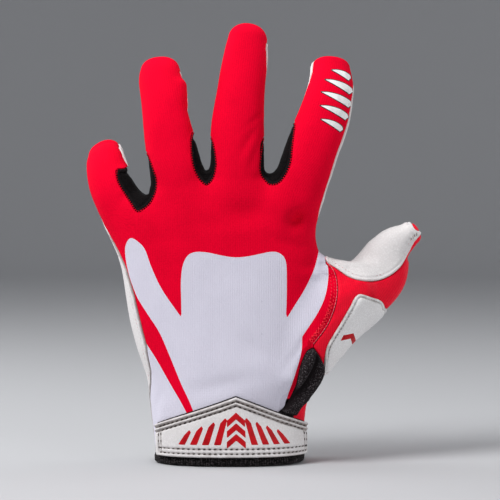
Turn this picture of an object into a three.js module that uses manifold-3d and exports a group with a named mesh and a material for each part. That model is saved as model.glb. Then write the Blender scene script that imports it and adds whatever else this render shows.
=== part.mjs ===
// A full-finger motocross glove for the left hand, shown as it is worn.
// Units are millimetres. Z runs from the cuff to the fingertips, X to the thumb's side, and the back of the hand
// faces -Y. The origin is the middle of the cuff's mouth. The glove is a hollow wall of cloth and leather: one form
// of the hand is made at several offsets, and the pieces are cut out of the wall between two of them along the seams.
import * as THREE from 'three';
import { mergeVertices } from 'three/addons/utils/BufferGeometryUtils.js';
import Module from 'manifold-3d';

const wasm = await Module();
wasm.setup();

// Driving dimensions
const WALL = 1.6;          // cloth or leather with its lining
const SEAM_GAP = 0.3;      // between the edges of two pieces that are sewn together
const CUFF_HEM = 4;        // height of the bound edge round the mouth
const BINDING = { outside: 0.7, inside: 0.5 }; // how far the folded binding stands out of the cloth on each side
const TAB_LEATHER = 1.8;
const TAB_BACKING = 1;
const TAB_WELT = 0.8;      // the rolled edge stands this far above the tab's field
const PATCH_LEATHER = 1.6;
const GUSSET_BULGE = 3.4;  // how far the folded wrist gusset swells out of the wrist
const FAR = 130;           // longer than the glove is wide or deep

// The hand from the cuff to the webs between the fingers: outer edges of the cloth at each height
const PALM = [
  { z: -18.5, left: -38, right: 37, front: -24, back: 24 },
  { z: 2.5, left: -38, right: 37.2, front: -24, back: 24 },
  { z: 26.5, left: -39.5, right: 39, front: -23, back: 24 },
  { z: 41.5, left: -41.5, right: 43.5, front: -22, back: 24 },
  { z: 56.5, left: -46.5, right: 45.5, front: -20.5, back: 23.5 },
  { z: 71.5, left: -50.3, right: 46, front: -19.5, back: 22 },
  { z: 88.5, left: -53.3, right: 46, front: -18.5, back: 19 },
  { z: 102.5, left: -55.5, right: 44.8, front: -18, back: 16.5 },
  { z: 114.5, left: -57.5, right: 44, front: -17.2, back: 14 },
  { z: 124.5, left: -56, right: 44.5, front: -16.3, back: 12.5 },
  { z: 132.5, left: -49, right: 45, front: -14.8, back: 11.5 },
  { z: 138.5, left: -36, right: 40, front: -12.6, back: 10.5 },
  { z: 143, left: -27, right: 33, front: -9, back: 7 },
];

// Fingers, thumb and the web of skin beside the thumb. Each row is a section: its middle, half its width across the
// finger and half its depth from nail to pad. roll turns the pad towards the thumb where it is negative.
const LIMBS = {
  little: {
    roll: -15, tip: 7, rows: [
      { x: -44.5, y: 2, z: 98, width: 10, depth: 10 },
      { x: -54, y: 1, z: 122.5, width: 11, depth: 9.6 },
      { x: -59.2, y: 4, z: 137.5, width: 11, depth: 9.2 },
      { x: -61.4, y: 11, z: 147.5, width: 10.4, depth: 8.8 },
      { x: -60.5, y: 20, z: 152.5, width: 9.4, depth: 8.4 },
    ],
  },
  ring: {
    roll: 0, tip: 7, rows: [
      { x: -21, y: -3, z: 116.5, width: 12.5, depth: 11 },
      { x: -25.8, y: -4, z: 142.5, width: 13.2, depth: 10.6 },
      { x: -29.8, y: -1.5, z: 159.5, width: 12.4, depth: 9.8 },
      { x: -33, y: 4, z: 176.5, width: 11, depth: 9.2 },
      { x: -35, y: 12, z: 189.5, width: 10.8, depth: 8.8 },
      { x: -35.2, y: 17, z: 194.5, width: 10, depth: 8.4 },
    ],
  },
  middle: {
    roll: 0, tip: 9, rows: [
      { x: 3, y: -3, z: 116.5, width: 13.5, depth: 11.5 },
      { x: 3.7, y: -4, z: 142.5, width: 13.7, depth: 11 },
      { x: 3.8, y: -2, z: 162.5, width: 13.5, depth: 10.2 },
      { x: 5, y: 3, z: 182.5, width: 12.2, depth: 9.5 },
      { x: 6.8, y: 8.5, z: 200.5, width: 11.6, depth: 8.8 },
      { x: 8, y: 12, z: 211, width: 10.6, depth: 8.3 },
    ],
  },
  index: {
    roll: 6, tip: 6, rows: [
      { x: 28, y: -3, z: 116.5, width: 13.5, depth: 11.5 },
      { x: 35.5, y: -4, z: 140.5, width: 13.6, depth: 11 },
      { x: 41, y: -1.5, z: 156.5, width: 13.4, depth: 10.3 },
      { x: 47, y: 4, z: 172.5, width: 12.8, depth: 9.6 },
      { x: 51, y: 11, z: 186.5, width: 11.6, depth: 9 },
      { x: 51.5, y: 17, z: 195, width: 10.3, depth: 8.4 },
    ],
  },
  thumb: {
    roll: 0, tip: 5, rows: [
      { x: 27, y: 3, z: 36, width: 11, depth: 14 },
      { x: 39.5, y: 4, z: 53, width: 12.6, depth: 14 },
      { x: 52.5, y: 6, z: 68.5, width: 12.8, depth: 13 },
      { x: 65.5, y: 9, z: 81, width: 12.4, depth: 12 },
      { x: 75.3, y: 11, z: 93.5, width: 13, depth: 11 },
      { x: 82, y: 12.5, z: 106.5, width: 11, depth: 9.8 },
      { x: 89, y: 13, z: 113, width: 7.4, depth: 8 },
    ],
  },
  thumb_web: {
    roll: 0, tip: 4.5, rows: [
      { x: 33, y: -3, z: 42, width: 9, depth: 14 },
      { x: 43, y: -4, z: 64, width: 12.5, depth: 13.5 },
      { x: 50, y: -3.5, z: 80, width: 13, depth: 12.5 },
      { x: 53, y: -0.5, z: 90, width: 12, depth: 10 },
      { x: 53.5, y: 2, z: 95.5, width: 10.5, depth: 8 },
    ],
  },
};
const FINGERS = ['little', 'ring', 'middle', 'index'];
const ROUNDNESS = { palm: 2.5, limb: 2.3 }; // superellipse powers: 2 is an ellipse
const SIDES = { palm: 28, limb: 12 };
const STATION = 11.5;       // spacing of the sections along a finger
const TIP_STEPS = [0.4, 0.75, 0.95]; // sections of a rounded fingertip, as shares of its length

// Where the edge of the back panel runs along the little finger's side of the hand, by height
const ULNAR_SEAM = [
  { z: -23.5, y: 0 }, { z: 34.5, y: -1 }, { z: 48.5, y: -8 }, { z: 61.5, y: -11 },
  { z: 76.5, y: -8.5 }, { z: 91.5, y: -5.5 }, { z: 106.5, y: -1 }, { z: 120.5, y: 1 }, { z: 126.5, y: 1 },
];
const MIDDLE_SEAM_Y = -3;    // the same seam on the index finger's side
const SEAM_TURN_X = -10;
const FINGERS_FROM_Z = 124.5;
// The side of a finger that belongs to the back panel, across the finger and from its middle to its nail
const FINGER_BACK = [[-15.5, -22], [15.5, -22], [15.5, 0], [-15.5, 0]];

// Outlines seen from the back of the hand, as [x, z]
const FINGER_GUSSETS = {
  little_ring: [[-55.5, 146], [-56.5, 142.5], [-53.5, 134.5], [-49.5, 128], [-45.5, 124.3], [-40.7, 124.4], [-37, 129],
    [-36.1, 134.5], [-37, 141.5], [-39.5, 148.5], [-41.2, 154], [-45, 156.5], [-50, 147.5]],
  ring_middle: [[-18.5, 164.5], [-19.4, 159.5], [-19, 152], [-17.5, 145.5], [-15, 141], [-11.6, 138.2], [-8.4, 141],
    [-6.8, 146.5], [-6.8, 151.5], [-8, 158.5], [-9.5, 162], [-14, 166.5]],
  middle_index: [[16.8, 161.5], [15.2, 152.5], [14.9, 144.5], [17.5, 140.3], [20, 138.3], [24.3, 139.1], [27.8, 143.5],
    [30.3, 149.5], [31, 156.5], [31.8, 163.5], [32.2, 169], [28, 172.5]],
};
const THUMB_SEAM = [[52, 126.5], [47.5, 102.5], [52, 95], [53.4, 88.5], [52.8, 80.5], [50, 72], [46.5, 66],
  [41.4, 59.5]];
const WRIST_SLIT = [[41.4, 57.7], [38, 55.5], [35, 48.5], [33, 40], [30.6, 32.5], [28, 28], [25, 8.5],
  [34, 8.5], [35, 22.5], [38.5, 29.5], [41.5, 33.5], [44.5, 38], [47, 43], [47.4, 48], [46.7, 51.5], [44, 55.5]];
// The valley between the two folds of the wrist gusset
const WRIST_FOLD = [[41.5, 52.5], [38.7, 44.2], [35.2, 37], [32, 30.5]];
const FOLD = { width: 1.5, floor: 0.9 };
// The red panel of the thumb lies below this line on the side that faces with the back of the hand
const THUMB_FRONT_SEAM = [[40, 107.5], [47.4, 100.8], [52.4, 96], [58.2, 91.9], [63.6, 89.8], [69, 89.3],
  [74.8, 90], [80.6, 92.3], [85.6, 96], [88.8, 101], [91.5, 106.5], [94.3, 110.5], [104, 120.5]];
// and, on the side that faces with the palm, outside this line
const THUMB_REAR_SEAM = [[38, 16.5], [42, 40.5], [54, 54.5], [66, 66.5], [75, 80.5], [80, 94.5], [85, 107.5],
  [91, 115.5], [97, 126.5]];
const WRIST_SIDE = [[41.4, 57], [38.5, 55], [35.5, 48], [33.5, 39.5], [31, 32], [28.5, 27.5], [25.5, -23.5]];
const WRIST_SLIT_REAR = 3;   // how far round the wrist's edge the slit reaches
const THUMB_MIDDLE = { y: -4, turn: 10.6 }; // between its two sides, in degrees from the plane of the hand
const THUMB_PATCH = [[47.2, 50.5], [48.5, 58], [54.4, 68], [60.3, 78], [62.3, 81.8], [65.4, 83.4], [70, 81.7],
  [74.5, 79.7], [76.4, 76.8], [80, 70.5], [70, 51.5], [55, 38.5], [46, 43.5]];
const THUMB_PATCH_REAR = 9;  // how far back over the thumb's edge the patch reaches
const TAB = { left: -36.6, right: 37.6, bottom: 4.3, sideTop: 19.8, peakX: 3.2, peakZ: 34, welt: 4.2 };
const BACKING_RISE = 1;      // how far the backing shows above the tab

const COLOURS = {
  red_knit: { color: 0xe3072a, roughness: 0.75 },
  white_leather: { color: 0xe6e2e0, roughness: 0.6 },
  black_mesh: { color: 0x141214, roughness: 0.9 },
  black_loop: { color: 0x1a181a, roughness: 0.95 },
  black_binding: { color: 0x121012, roughness: 0.85 },
};

const lerp = (a, b, t) => a + (b - a) * t;

/** A closed solid from a BufferGeometry. */
function solidFrom(geometry) {
  const bare = geometry.index ? geometry.toNonIndexed() : geometry;
  bare.deleteAttribute('normal');
  bare.deleteAttribute('uv');
  const merged = mergeVertices(bare, 1e-4);
  return new wasm.Manifold(new wasm.Mesh({
    numProp: 3,
    vertProperties: merged.attributes.position.array,
    triVerts: new Uint32Array(merged.index.array),
  }));
}

/** Skins a row of rings, each with the same number of points, and closes both ends. */
function loft(rings) {
  const points = [];
  const face = (a, b, c) => points.push(a, b, c);
  const sides = rings[0].length;
  for (let i = 0; i + 1 < rings.length; i++) {
    for (let j = 0; j < sides; j++) {
      const k = (j + 1) % sides;
      face(rings[i][j], rings[i][k], rings[i + 1][k]);
      face(rings[i][j], rings[i + 1][k], rings[i + 1][j]);
    }
  }
  const middle = (ring) => ring.reduce((sum, p) => sum.add(p), new THREE.Vector3()).divideScalar(sides);
  const [first, last] = [rings[0], rings[rings.length - 1]];
  const [low, high] = [middle(first), middle(last)];
  for (let j = 0; j < sides; j++) {
    const k = (j + 1) % sides;
    face(first[k], first[j], low);
    face(last[j], last[k], high);
  }
  return solidFrom(new THREE.BufferGeometry().setFromPoints(points));
}

/** Points round a superellipse with the given half sizes, anticlockwise. */
function superellipse(width, depth, power, sides) {
  return Array.from({ length: sides }, (_, i) => {
    const angle = (i / sides) * 2 * Math.PI;
    const [c, s] = [Math.cos(angle), Math.sin(angle)];
    return [width * Math.sign(c) * Math.abs(c) ** (2 / power), depth * Math.sign(s) * Math.abs(s) ** (2 / power)];
  });
}

/** The palm and wrist, with its surface moved out by grow. */
function palmSolid(grow) {
  return loft(PALM.map((row, i) => {
    const top = i === PALM.length - 1 ? grow : 0;
    const centre = [(row.left + row.right) / 2, (row.front + row.back) / 2];
    return superellipse((row.right - row.left) / 2 + grow, (row.back - row.front) / 2 + grow,
      ROUNDNESS.palm, SIDES.palm).map(([x, y]) => new THREE.Vector3(centre[0] + x, centre[1] + y, row.z + top));
  }));
}

/** Stations along a limb: middle, directions along it, across it and from nail to pad, and half sizes. */
function stations(limb) {
  const { rows, roll } = limb;
  const curve = new THREE.CatmullRomCurve3(rows.map((r) => new THREE.Vector3(r.x, r.y, r.z)), false, 'centripetal');
  const count = Math.ceil(curve.getLength() / STATION);
  const base = curve.getTangent(0);
  const across = new THREE.Vector3(base.z, 0, -base.x).normalize();
  return Array.from({ length: count + 1 }, (_, i) => {
    const t = i / count;
    const along = curve.getTangent(t);
    const side = across.clone().addScaledVector(along, -across.dot(along)).normalize()
      .applyAxisAngle(along, THREE.MathUtils.degToRad(roll));
    const row = t * (rows.length - 1);
    const k = Math.min(rows.length - 2, Math.floor(row));
    return {
      middle: curve.getPoint(t), along, side, pad: along.clone().cross(side),
      width: lerp(rows[k].width, rows[k + 1].width, row - k),
      depth: lerp(rows[k].depth, rows[k + 1].depth, row - k),
    };
  });
}

const placed = (station, u, v, ahead = 0) => station.middle.clone()
  .addScaledVector(station.side, u).addScaledVector(station.pad, v).addScaledVector(station.along, ahead);

/** A finger with a rounded tip, with its surface moved out by grow. */
function limbSolid(limb, grow) {
  const along = stations(limb);
  const ring = (station, scale, ahead) => superellipse((station.width + grow) * scale, (station.depth + grow) * scale,
    ROUNDNESS.limb, SIDES.limb).map(([u, v]) => placed(station, u, v, ahead));
  const last = along[along.length - 1];
  const tip = TIP_STEPS.map((share) => ring(last, Math.sqrt(1 - share * share), share * (limb.tip + grow)));
  return loft([...along.map((station) => ring(station, 1, 0)), ...tip]);
}

const made = new Map();
/** The whole hand with its surface moved out by grow. */
function handForm(grow) {
  if (!made.has(grow)) {
    made.set(grow, Object.values(LIMBS).reduce((sum, limb) => sum.add(limbSolid(limb, grow)), palmSolid(grow)));
  }
  return made.get(grow);
}

/** Everything of a layer between two offsets of the hand. */
const layer = (inside, outside) => handForm(outside).subtract(handForm(inside));

/** A block between two corners. */
function block(low, high) {
  const geometry = new THREE.BoxGeometry(high[0] - low[0], high[1] - low[1], high[2] - low[2]);
  return solidFrom(geometry.translate((low[0] + high[0]) / 2, (low[1] + high[1]) / 2, (low[2] + high[2]) / 2));
}

/** An outline seen from the back of the hand, grown by margin and run through the glove from front to rear. */
function cutter(outline, margin = 0, front = -FAR, rear = FAR) {
  const points = outline.map(([x, z]) => new THREE.Vector2(x, z));
  const turned = THREE.ShapeUtils.isClockWise(points) ? points.reverse() : points;
  const grown = turned.map((p, i) => {
    const before = turned[(i + turned.length - 1) % turned.length];
    const after = turned[(i + 1) % turned.length];
    const [a, b] = [p.clone().sub(before).normalize(), after.clone().sub(p).normalize()];
    const out = new THREE.Vector2(a.y + b.y, -a.x - b.x).normalize();
    return p.clone().addScaledVector(out, margin / Math.max(0.5, out.dot(new THREE.Vector2(a.y, -a.x))));
  });
  const geometry = new THREE.ExtrudeGeometry(new THREE.Shape(grown), { depth: rear - front, bevelEnabled: false });
  return solidFrom(geometry.rotateX(Math.PI / 2).translate(0, rear, 0));
}

/** The side of the glove that faces with the back of the hand, up to the seam moved towards the palm by margin. */
function backSide(margin) {
  const seam = ULNAR_SEAM.map(({ z, y }) => [y + margin, z]);
  const outline = [[-FAR, -20], ...seam, [-FAR, ULNAR_SEAM.at(-1).z]];
  const ulnar = cutter(outline, 0, 0, FAR).rotate([0, 0, 90]).translate([SEAM_TURN_X, 0, 0]);
  const thumbwards = block([SEAM_TURN_X - 0.01, -FAR, -20], [FAR, MIDDLE_SEAM_Y + margin, FINGERS_FROM_Z]);
  const sweeps = FINGERS.map((name) => {
    const along = stations(LIMBS[name]);
    const rectangle = (s, ahead) => FINGER_BACK.map(([u, v]) => placed(s, u, v === 0 ? margin : v, ahead));
    return loft([...along.map((s) => rectangle(s, 0)), rectangle(along.at(-1), 20)]);
  });
  return sweeps.reduce((sum, sweep) => sum.add(sweep), ulnar.add(thumbwards));
}

/** The largest body of a cut, without the crumbs that a seam leaves. */
const mainBody = (solid) => solid.decompose().sort((a, b) => b.volume() - a.volume())[0];

const gap = SEAM_GAP / 2;
const gussets = Object.entries(FINGER_GUSSETS);
const thumbSide = (margin) => cutter([...THUMB_SEAM, ...WRIST_SIDE, [FAR, -20], [FAR, FAR]], margin);
const slit = (margin) => cutter(WRIST_SLIT, margin, -FAR, WRIST_SLIT_REAR + margin);

/** The side of the thumb that is red: below its front seam, and outside its rear seam. */
function thumbBackSide(margin) {
  const { y, turn } = THUMB_MIDDLE;
  const front = (shift) => block([-FAR, -2 * FAR, -FAR], [2 * FAR, y + shift, FAR]).rotate([0, 0, turn]);
  const belowSeam = cutter([...THUMB_FRONT_SEAM, [FAR, FAR], [FAR, -20], [0, -20]], margin);
  const outsideSeam = cutter([...THUMB_REAR_SEAM, [FAR, FAR], [FAR, -20]], margin);
  return belowSeam.intersect(front(margin)).add(outsideSeam.subtract(front(-margin)))
    .add(belowSeam.intersect(outsideSeam));
}

/** The closure tab seen from the back of the hand: a band with a pointed top, raised by rise. */
function tabOutline(rise = 0) {
  const { left, right, bottom, sideTop, peakX, peakZ } = TAB;
  return [[left, bottom], [right, bottom], [right, sideTop + rise], [peakX, peakZ + rise], [left, sideTop + rise]];
}

const glove = new THREE.Group();

/** Adds one named piece of the glove. */
function addPiece(name, solid, finish) {
  const { vertProperties, triVerts } = mainBody(solid).getMesh();
  const geometry = new THREE.BufferGeometry()
    .setAttribute('position', new THREE.BufferAttribute(vertProperties, 3))
    .setIndex(new THREE.BufferAttribute(triVerts, 1)).toNonIndexed();
  geometry.computeVertexNormals();
  const mesh = new THREE.Mesh(geometry, new THREE.MeshStandardMaterial({ ...COLOURS[finish], metalness: 0 }));
  mesh.name = name;
  glove.add(mesh);
}

// Cloth and leather panels
const cloth = layer(-WALL, 0).subtract(block([-FAR, -FAR, -FAR], [FAR, FAR, CUFF_HEM + SEAM_GAP]));
const thumbCloth = cloth.intersect(thumbSide(-gap)).subtract(slit(gap));
const fingerCloth = cloth.subtract(thumbSide(gap));
const handCloth = gussets.reduce((rest, [, outline]) => rest.subtract(cutter(outline, gap)),
  fingerCloth.subtract(slit(gap)));
addPiece('back_panel', handCloth.intersect(backSide(-gap)), 'red_knit');
addPiece('palm_panel', handCloth.subtract(backSide(gap)), 'white_leather');
addPiece('thumb_back_panel', thumbCloth.intersect(thumbBackSide(-gap)), 'red_knit');
addPiece('thumb_palm_panel', thumbCloth.subtract(thumbBackSide(gap)), 'white_leather');
for (const [name, outline] of gussets) {
  addPiece(`finger_gusset_${name}`, fingerCloth.intersect(cutter(outline, -gap)), 'black_mesh');
}

// Closure at the wrist: the tab on its backing, and the gusset that closes the slit beside it
const underTab = cutter(tabOutline(BACKING_RISE), SEAM_GAP, -FAR, 0);
const foldSide = (side) => WRIST_FOLD.map(([x, z]) => [x + side * FOLD.width / 2, z]);
const valley = cutter([...foldSide(-1), ...foldSide(1).reverse()]).subtract(handForm(FOLD.floor));
const bulge = layer(-WALL, GUSSET_BULGE).intersect(slit(-gap)).subtract(valley);
addPiece('wrist_gusset', bulge.subtract(underTab.subtract(handForm(0))), 'black_loop');
const backingTop = SEAM_GAP + TAB_BACKING;
addPiece('tab_backing', layer(SEAM_GAP, backingTop).intersect(cutter(tabOutline(BACKING_RISE), 0, -FAR, 0)),
  'black_loop');
const tabBase = backingTop + SEAM_GAP;
const field = layer(tabBase, tabBase + TAB_LEATHER).intersect(cutter(tabOutline(), 0, -FAR, 0));
const welt = layer(tabBase, tabBase + TAB_LEATHER + TAB_WELT).intersect(cutter(tabOutline(), 0, -FAR, 0))
  .subtract(cutter(tabOutline(), -TAB.welt, -FAR, FAR));
addPiece('closure_tab', field.add(welt), 'white_leather');

addPiece('thumb_patch', layer(SEAM_GAP, SEAM_GAP + PATCH_LEATHER)
  .intersect(cutter(THUMB_PATCH, 0, -FAR, THUMB_PATCH_REAR)).subtract(slit(gap)), 'white_leather');
addPiece('cuff_hem', layer(-WALL - BINDING.inside, BINDING.outside)
  .intersect(block([-FAR, -FAR, 0], [FAR, FAR, CUFF_HEM])), 'black_binding');

export default glove;
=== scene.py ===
"""The looks of a left-hand motocross glove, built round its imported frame.

The glove is a soft form of palm, fingers and thumb. Its surface is worked out once as a field of distances.
Each panel is cut out of it along its seams, given the thickness of its cloth, and sewn with thread.
Sizes are in millimetres and become metres where a mesh is made.
"""
import logging
import math
from dataclasses import dataclass, field
from enum import Enum
from typing import Sequence

import bpy
import numpy as np
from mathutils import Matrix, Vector


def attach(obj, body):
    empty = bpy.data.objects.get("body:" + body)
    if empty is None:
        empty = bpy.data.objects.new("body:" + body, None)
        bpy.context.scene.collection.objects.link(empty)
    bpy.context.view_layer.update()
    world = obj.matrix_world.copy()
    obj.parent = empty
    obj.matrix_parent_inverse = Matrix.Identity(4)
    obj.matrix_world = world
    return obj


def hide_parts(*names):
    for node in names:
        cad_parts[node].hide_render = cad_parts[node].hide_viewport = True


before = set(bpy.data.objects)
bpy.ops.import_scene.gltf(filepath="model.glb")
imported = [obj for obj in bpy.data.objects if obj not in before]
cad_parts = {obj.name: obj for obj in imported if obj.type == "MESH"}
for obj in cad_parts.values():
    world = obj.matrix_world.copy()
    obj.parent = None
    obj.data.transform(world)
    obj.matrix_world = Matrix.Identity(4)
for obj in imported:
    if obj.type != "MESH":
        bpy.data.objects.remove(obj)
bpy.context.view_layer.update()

log = logging.getLogger("glove")
Array = np.ndarray
Pair = tuple[float, float]
Triple = tuple[float, float, float]
Places = tuple[Pair, ...]
Rows = tuple[tuple[float, ...], ...]
Tree = bpy.types.NodeTree
Node = bpy.types.Node
Socket = bpy.types.NodeSocket
Reads = dict[str, Socket]
Surface = tuple[Node, Node]
MM = 0.001
# The corners of a grid's cell.
CORNERS = [np.array([n & 1, n >> 1 & 1, n >> 2 & 1]) for n in range(8)]
# Keeps a division from being one by nothing.
TINY = 1e-9
# Places further than this outside an outline all count as this far from it.
FAR = 9.0
# How many samples a stretch between two sections of the hand gets.
STEPS = 8
# How near its middle line a limb's distances stop falling, as a share of its size.
CORE = 0.2
# The distance that an empty form has everywhere.
EMPTY = 1000.0
# How near its ends an edge may be cut, as a share of its length.
SLIVER = 0.06
# How many values each way the random relief repeats after.
LATTICE = 24
# How high the hem's upper edge lies.
HEM = 4.0
# A stitch from end to end, as (place on its half length, share of its width).
STITCH = ((-1, 0.3), (-0.85, 0.8), (-0.4, 1.0), (0.4, 1.0), (0.85, 0.8), (1, 0.3))
# How far a stitch's ends sink in, as a share of its width.
SINK = 0.35


# Curves and outlines


def spline(rows: Array, steps: int) -> Array:
    """Samples a Catmull-Rom curve through the rows of a table.

    Args:
        rows: One row for each point, with any number of columns.
        steps: How many samples each stretch between two rows gets.

    Returns:
        The samples, ending with the last row.
    """
    rows = np.asarray(rows, float)
    padded = np.vstack([2 * rows[0] - rows[1], rows, 2 * rows[-1] - rows[-2]])
    before, start, end, after = padded[:-3], padded[1:-2], padded[2:-1], padded[3:]
    samples = []
    for share in np.arange(steps) / steps:
        square, cube = share * share, share**3
        samples.append(
            0.5 * (2 * start + (end - before) * share + (2 * before - 5 * start + 4 * end - after) * square
                   + (3 * start - before - 3 * end + after) * cube)
        )
    inner = np.stack(samples, axis=1).reshape(-1, rows.shape[1])
    return np.vstack([inner, rows[-1]])


def outline(points: Sequence[Pair], corners: Sequence[int] = (), steps: int = 5) -> Array:
    """Rounds a closed outline between its corners.

    Args:
        points: Places on the outline, as (x, z).
        corners: Which of the points stay sharp.
        steps: How many samples each stretch gets.

    Returns:
        The points of the rounded outline, without repeating the first.
    """
    places = np.asarray(points, float)
    count = len(places)
    if not corners:
        looped = spline(np.vstack([places[-1], places, places[:2]]), steps)
        return looped[steps:steps * (count + 1)]
    order = [(corners[0] + i) % count for i in range(count)] + [corners[0]]
    breaks = [i for i, place in enumerate(order) if place in corners]
    stretches = [spline(places[order[a:b + 1]], steps)[:-1] for a, b in zip(breaks, breaks[1:])]
    return np.vstack(stretches)


def inside_distance(places: Array, closed: Array) -> Array:
    """Measures how deep places lie inside a closed outline.

    Args:
        places: Places in the outline's plane, one row each.
        closed: The outline's points.

    Returns:
        The distance to the outline for each place, negative outside it.
    """
    near = ((places > closed.min(0) - FAR) & (places < closed.max(0) + FAR)).all(1)
    if not near.all():
        depth = np.full(len(places), -FAR)
        if near.any():
            depth[near] = inside_distance(places[near], closed)
        return depth
    following = np.roll(closed, -1, axis=0)
    nearest = np.full(len(places), np.inf)
    crossings = np.zeros(len(places), int)
    for start, end in zip(closed, following):
        edge = end - start
        reach = places - start
        share = np.clip(reach @ edge / max(edge @ edge, TINY), 0, 1)
        nearest = np.minimum(nearest, ((reach - share[:, None] * edge) ** 2).sum(1))
        straddles = (start[1] > places[:, 1]) != (end[1] > places[:, 1])
        height = (places[:, 1] - start[1]) / (edge[1] if edge[1] else TINY)
        crossings += straddles & (places[:, 0] < start[0] + height * edge[0])
    return np.where(crossings % 2 == 1, 1, -1) * np.sqrt(nearest)


def smooth_step(values: Array, low: float, high: float) -> Array:
    """Rises smoothly from 0 at low to 1 at high."""
    share = np.clip((values - low) / (high - low), 0, 1)
    return share * share * (3 - 2 * share)


def smooth_union(first: Array, second: Array, blend: float) -> Array:
    """Joins two distance fields with a fillet of about the size of blend."""
    mix = np.clip(0.5 + 0.5 * (second - first) / blend, 0, 1)
    return second + (first - second) * mix - blend * mix * (1 - mix)


def power_norm(first: Array, second: Array, power: float) -> Array:
    """Measures two values as one: round with a power of 2, and squarer with more."""
    return (np.abs(first) ** power + np.abs(second) ** power) ** (1 / power)


def unit(vectors: Array) -> Array:
    """Scales vectors to a length of one."""
    return vectors / np.maximum(np.linalg.norm(vectors, axis=1, keepdims=True), TINY)


def left_of(ahead: Array) -> Array:
    """Finds the directions a quarter turn to the left of others in a plane."""
    return unit(np.stack([-ahead[:, 1], ahead[:, 0]], axis=1))


def lengths_along(line: Array) -> Array:
    """Measures how far along a line each of its points lies."""
    return np.concatenate([[0], np.cumsum(np.linalg.norm(np.diff(line, axis=0), axis=1))])


def read_along(where: Array, lengths: Array, values: Array) -> Array:
    """Reads the rows of a table at lengths along a line."""
    return np.stack([np.interp(where, lengths, column) for column in values.T], axis=1)


def read_grid(values: Array, cell: Array, share: Array) -> Array:
    """Reads a grid at places that lie a share of the way from each cell's low corner to its high one."""
    total = np.zeros(len(cell))
    for corner in CORNERS:
        at = cell + corner
        total += np.where(corner, share, 1 - share).prod(1) * values[at[:, 0], at[:, 1], at[:, 2]]
    return total


# Soft forms


@dataclass(frozen=True)
class Limb:
    """A finger, or another round part that is swept along a bent line.

    Attributes:
        rows: Its sections, as (x, y, z, half width, half depth).
        tip: How far the rounded end reaches past the last section.
        roll: The turn of the sections about the line, in degrees.
        power: 2 makes the sections ellipses, and more makes them squarer.
        blend: The size of the fillet where it joins the form.
        square: 2 makes the end round, and more makes it flatter.
    """

    rows: Rows
    tip: float
    roll: float = 0.0
    power: float = 2.3
    blend: float = 5.0
    square: float = 2.0

    def stations(self) -> dict[str, Array]:
        """Works out the middle line and the frame along it.

        Returns:
            Columns middle, along, side, pad, width and depth, with a row for each sample.
        """
        rows = spline(np.array(self.rows), STEPS)
        middle = rows[:, :3]
        along = unit(np.gradient(middle, axis=0))
        across = np.array([along[0, 2], 0, -along[0, 0]])
        side = unit(across - (along @ across)[:, None] * along)
        turned = math.radians(self.roll)
        side = side * math.cos(turned) + np.cross(along, side) * math.sin(turned)
        return {"middle": middle, "along": along, "side": side, "pad": np.cross(along, side),
                "width": rows[:, 3], "depth": rows[:, 4]}

    def local(self, points: Array) -> tuple[Array, Array, Array, Array]:
        """Finds where points lie as seen from the limb.

        Args:
            points: Places in space, one row each.

        Returns:
            The distance to the surface, the place along the line from 0 to 1, the place across, and the
            place from the nail's side to the pad's.
        """
        at = self.stations()
        best = np.full(len(points), np.inf)
        nearest = np.zeros(len(points), int)
        for i, middle in enumerate(at["middle"]):
            gap = ((points - middle) ** 2).sum(1)
            closer = gap < best
            best[closer] = gap[closer]
            nearest[closer] = i
        ahead = ((points - at["middle"][nearest]) * at["along"][nearest]).sum(1)
        spacing = np.linalg.norm(np.diff(at["middle"], axis=0), axis=1).mean()
        last = len(at["middle"]) - 1
        place = np.clip(nearest + ahead / spacing, 0, last)
        low = np.minimum(place.astype(int), last - 1)
        share = place - low

        def between(column: str) -> Array:
            """Blends a column between the two nearest samples."""
            values = at[column]
            weight = share if values.ndim == 1 else share[:, None]
            return values[low] * (1 - weight) + values[low + 1] * weight

        reach = points - between("middle")
        across, deep, beyond = ((reach * between(column)).sum(1) for column in ("side", "pad", "along"))
        beyond = np.where(place >= last, np.maximum(beyond, 0), np.minimum(beyond, 0) * (place <= 0))
        width, depth = between("width"), between("depth")
        ring = power_norm(across / width, deep / depth, self.power)
        scale = power_norm(ring, beyond / self.tip, self.square)
        length = np.sqrt(across**2 + deep**2 + beyond**2)
        distance = np.where(scale > CORE, length * (1 - 1 / np.maximum(scale, CORE)),
                            -np.minimum(width, depth) * (1 - CORE))
        return distance, place / last, across, deep


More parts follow.
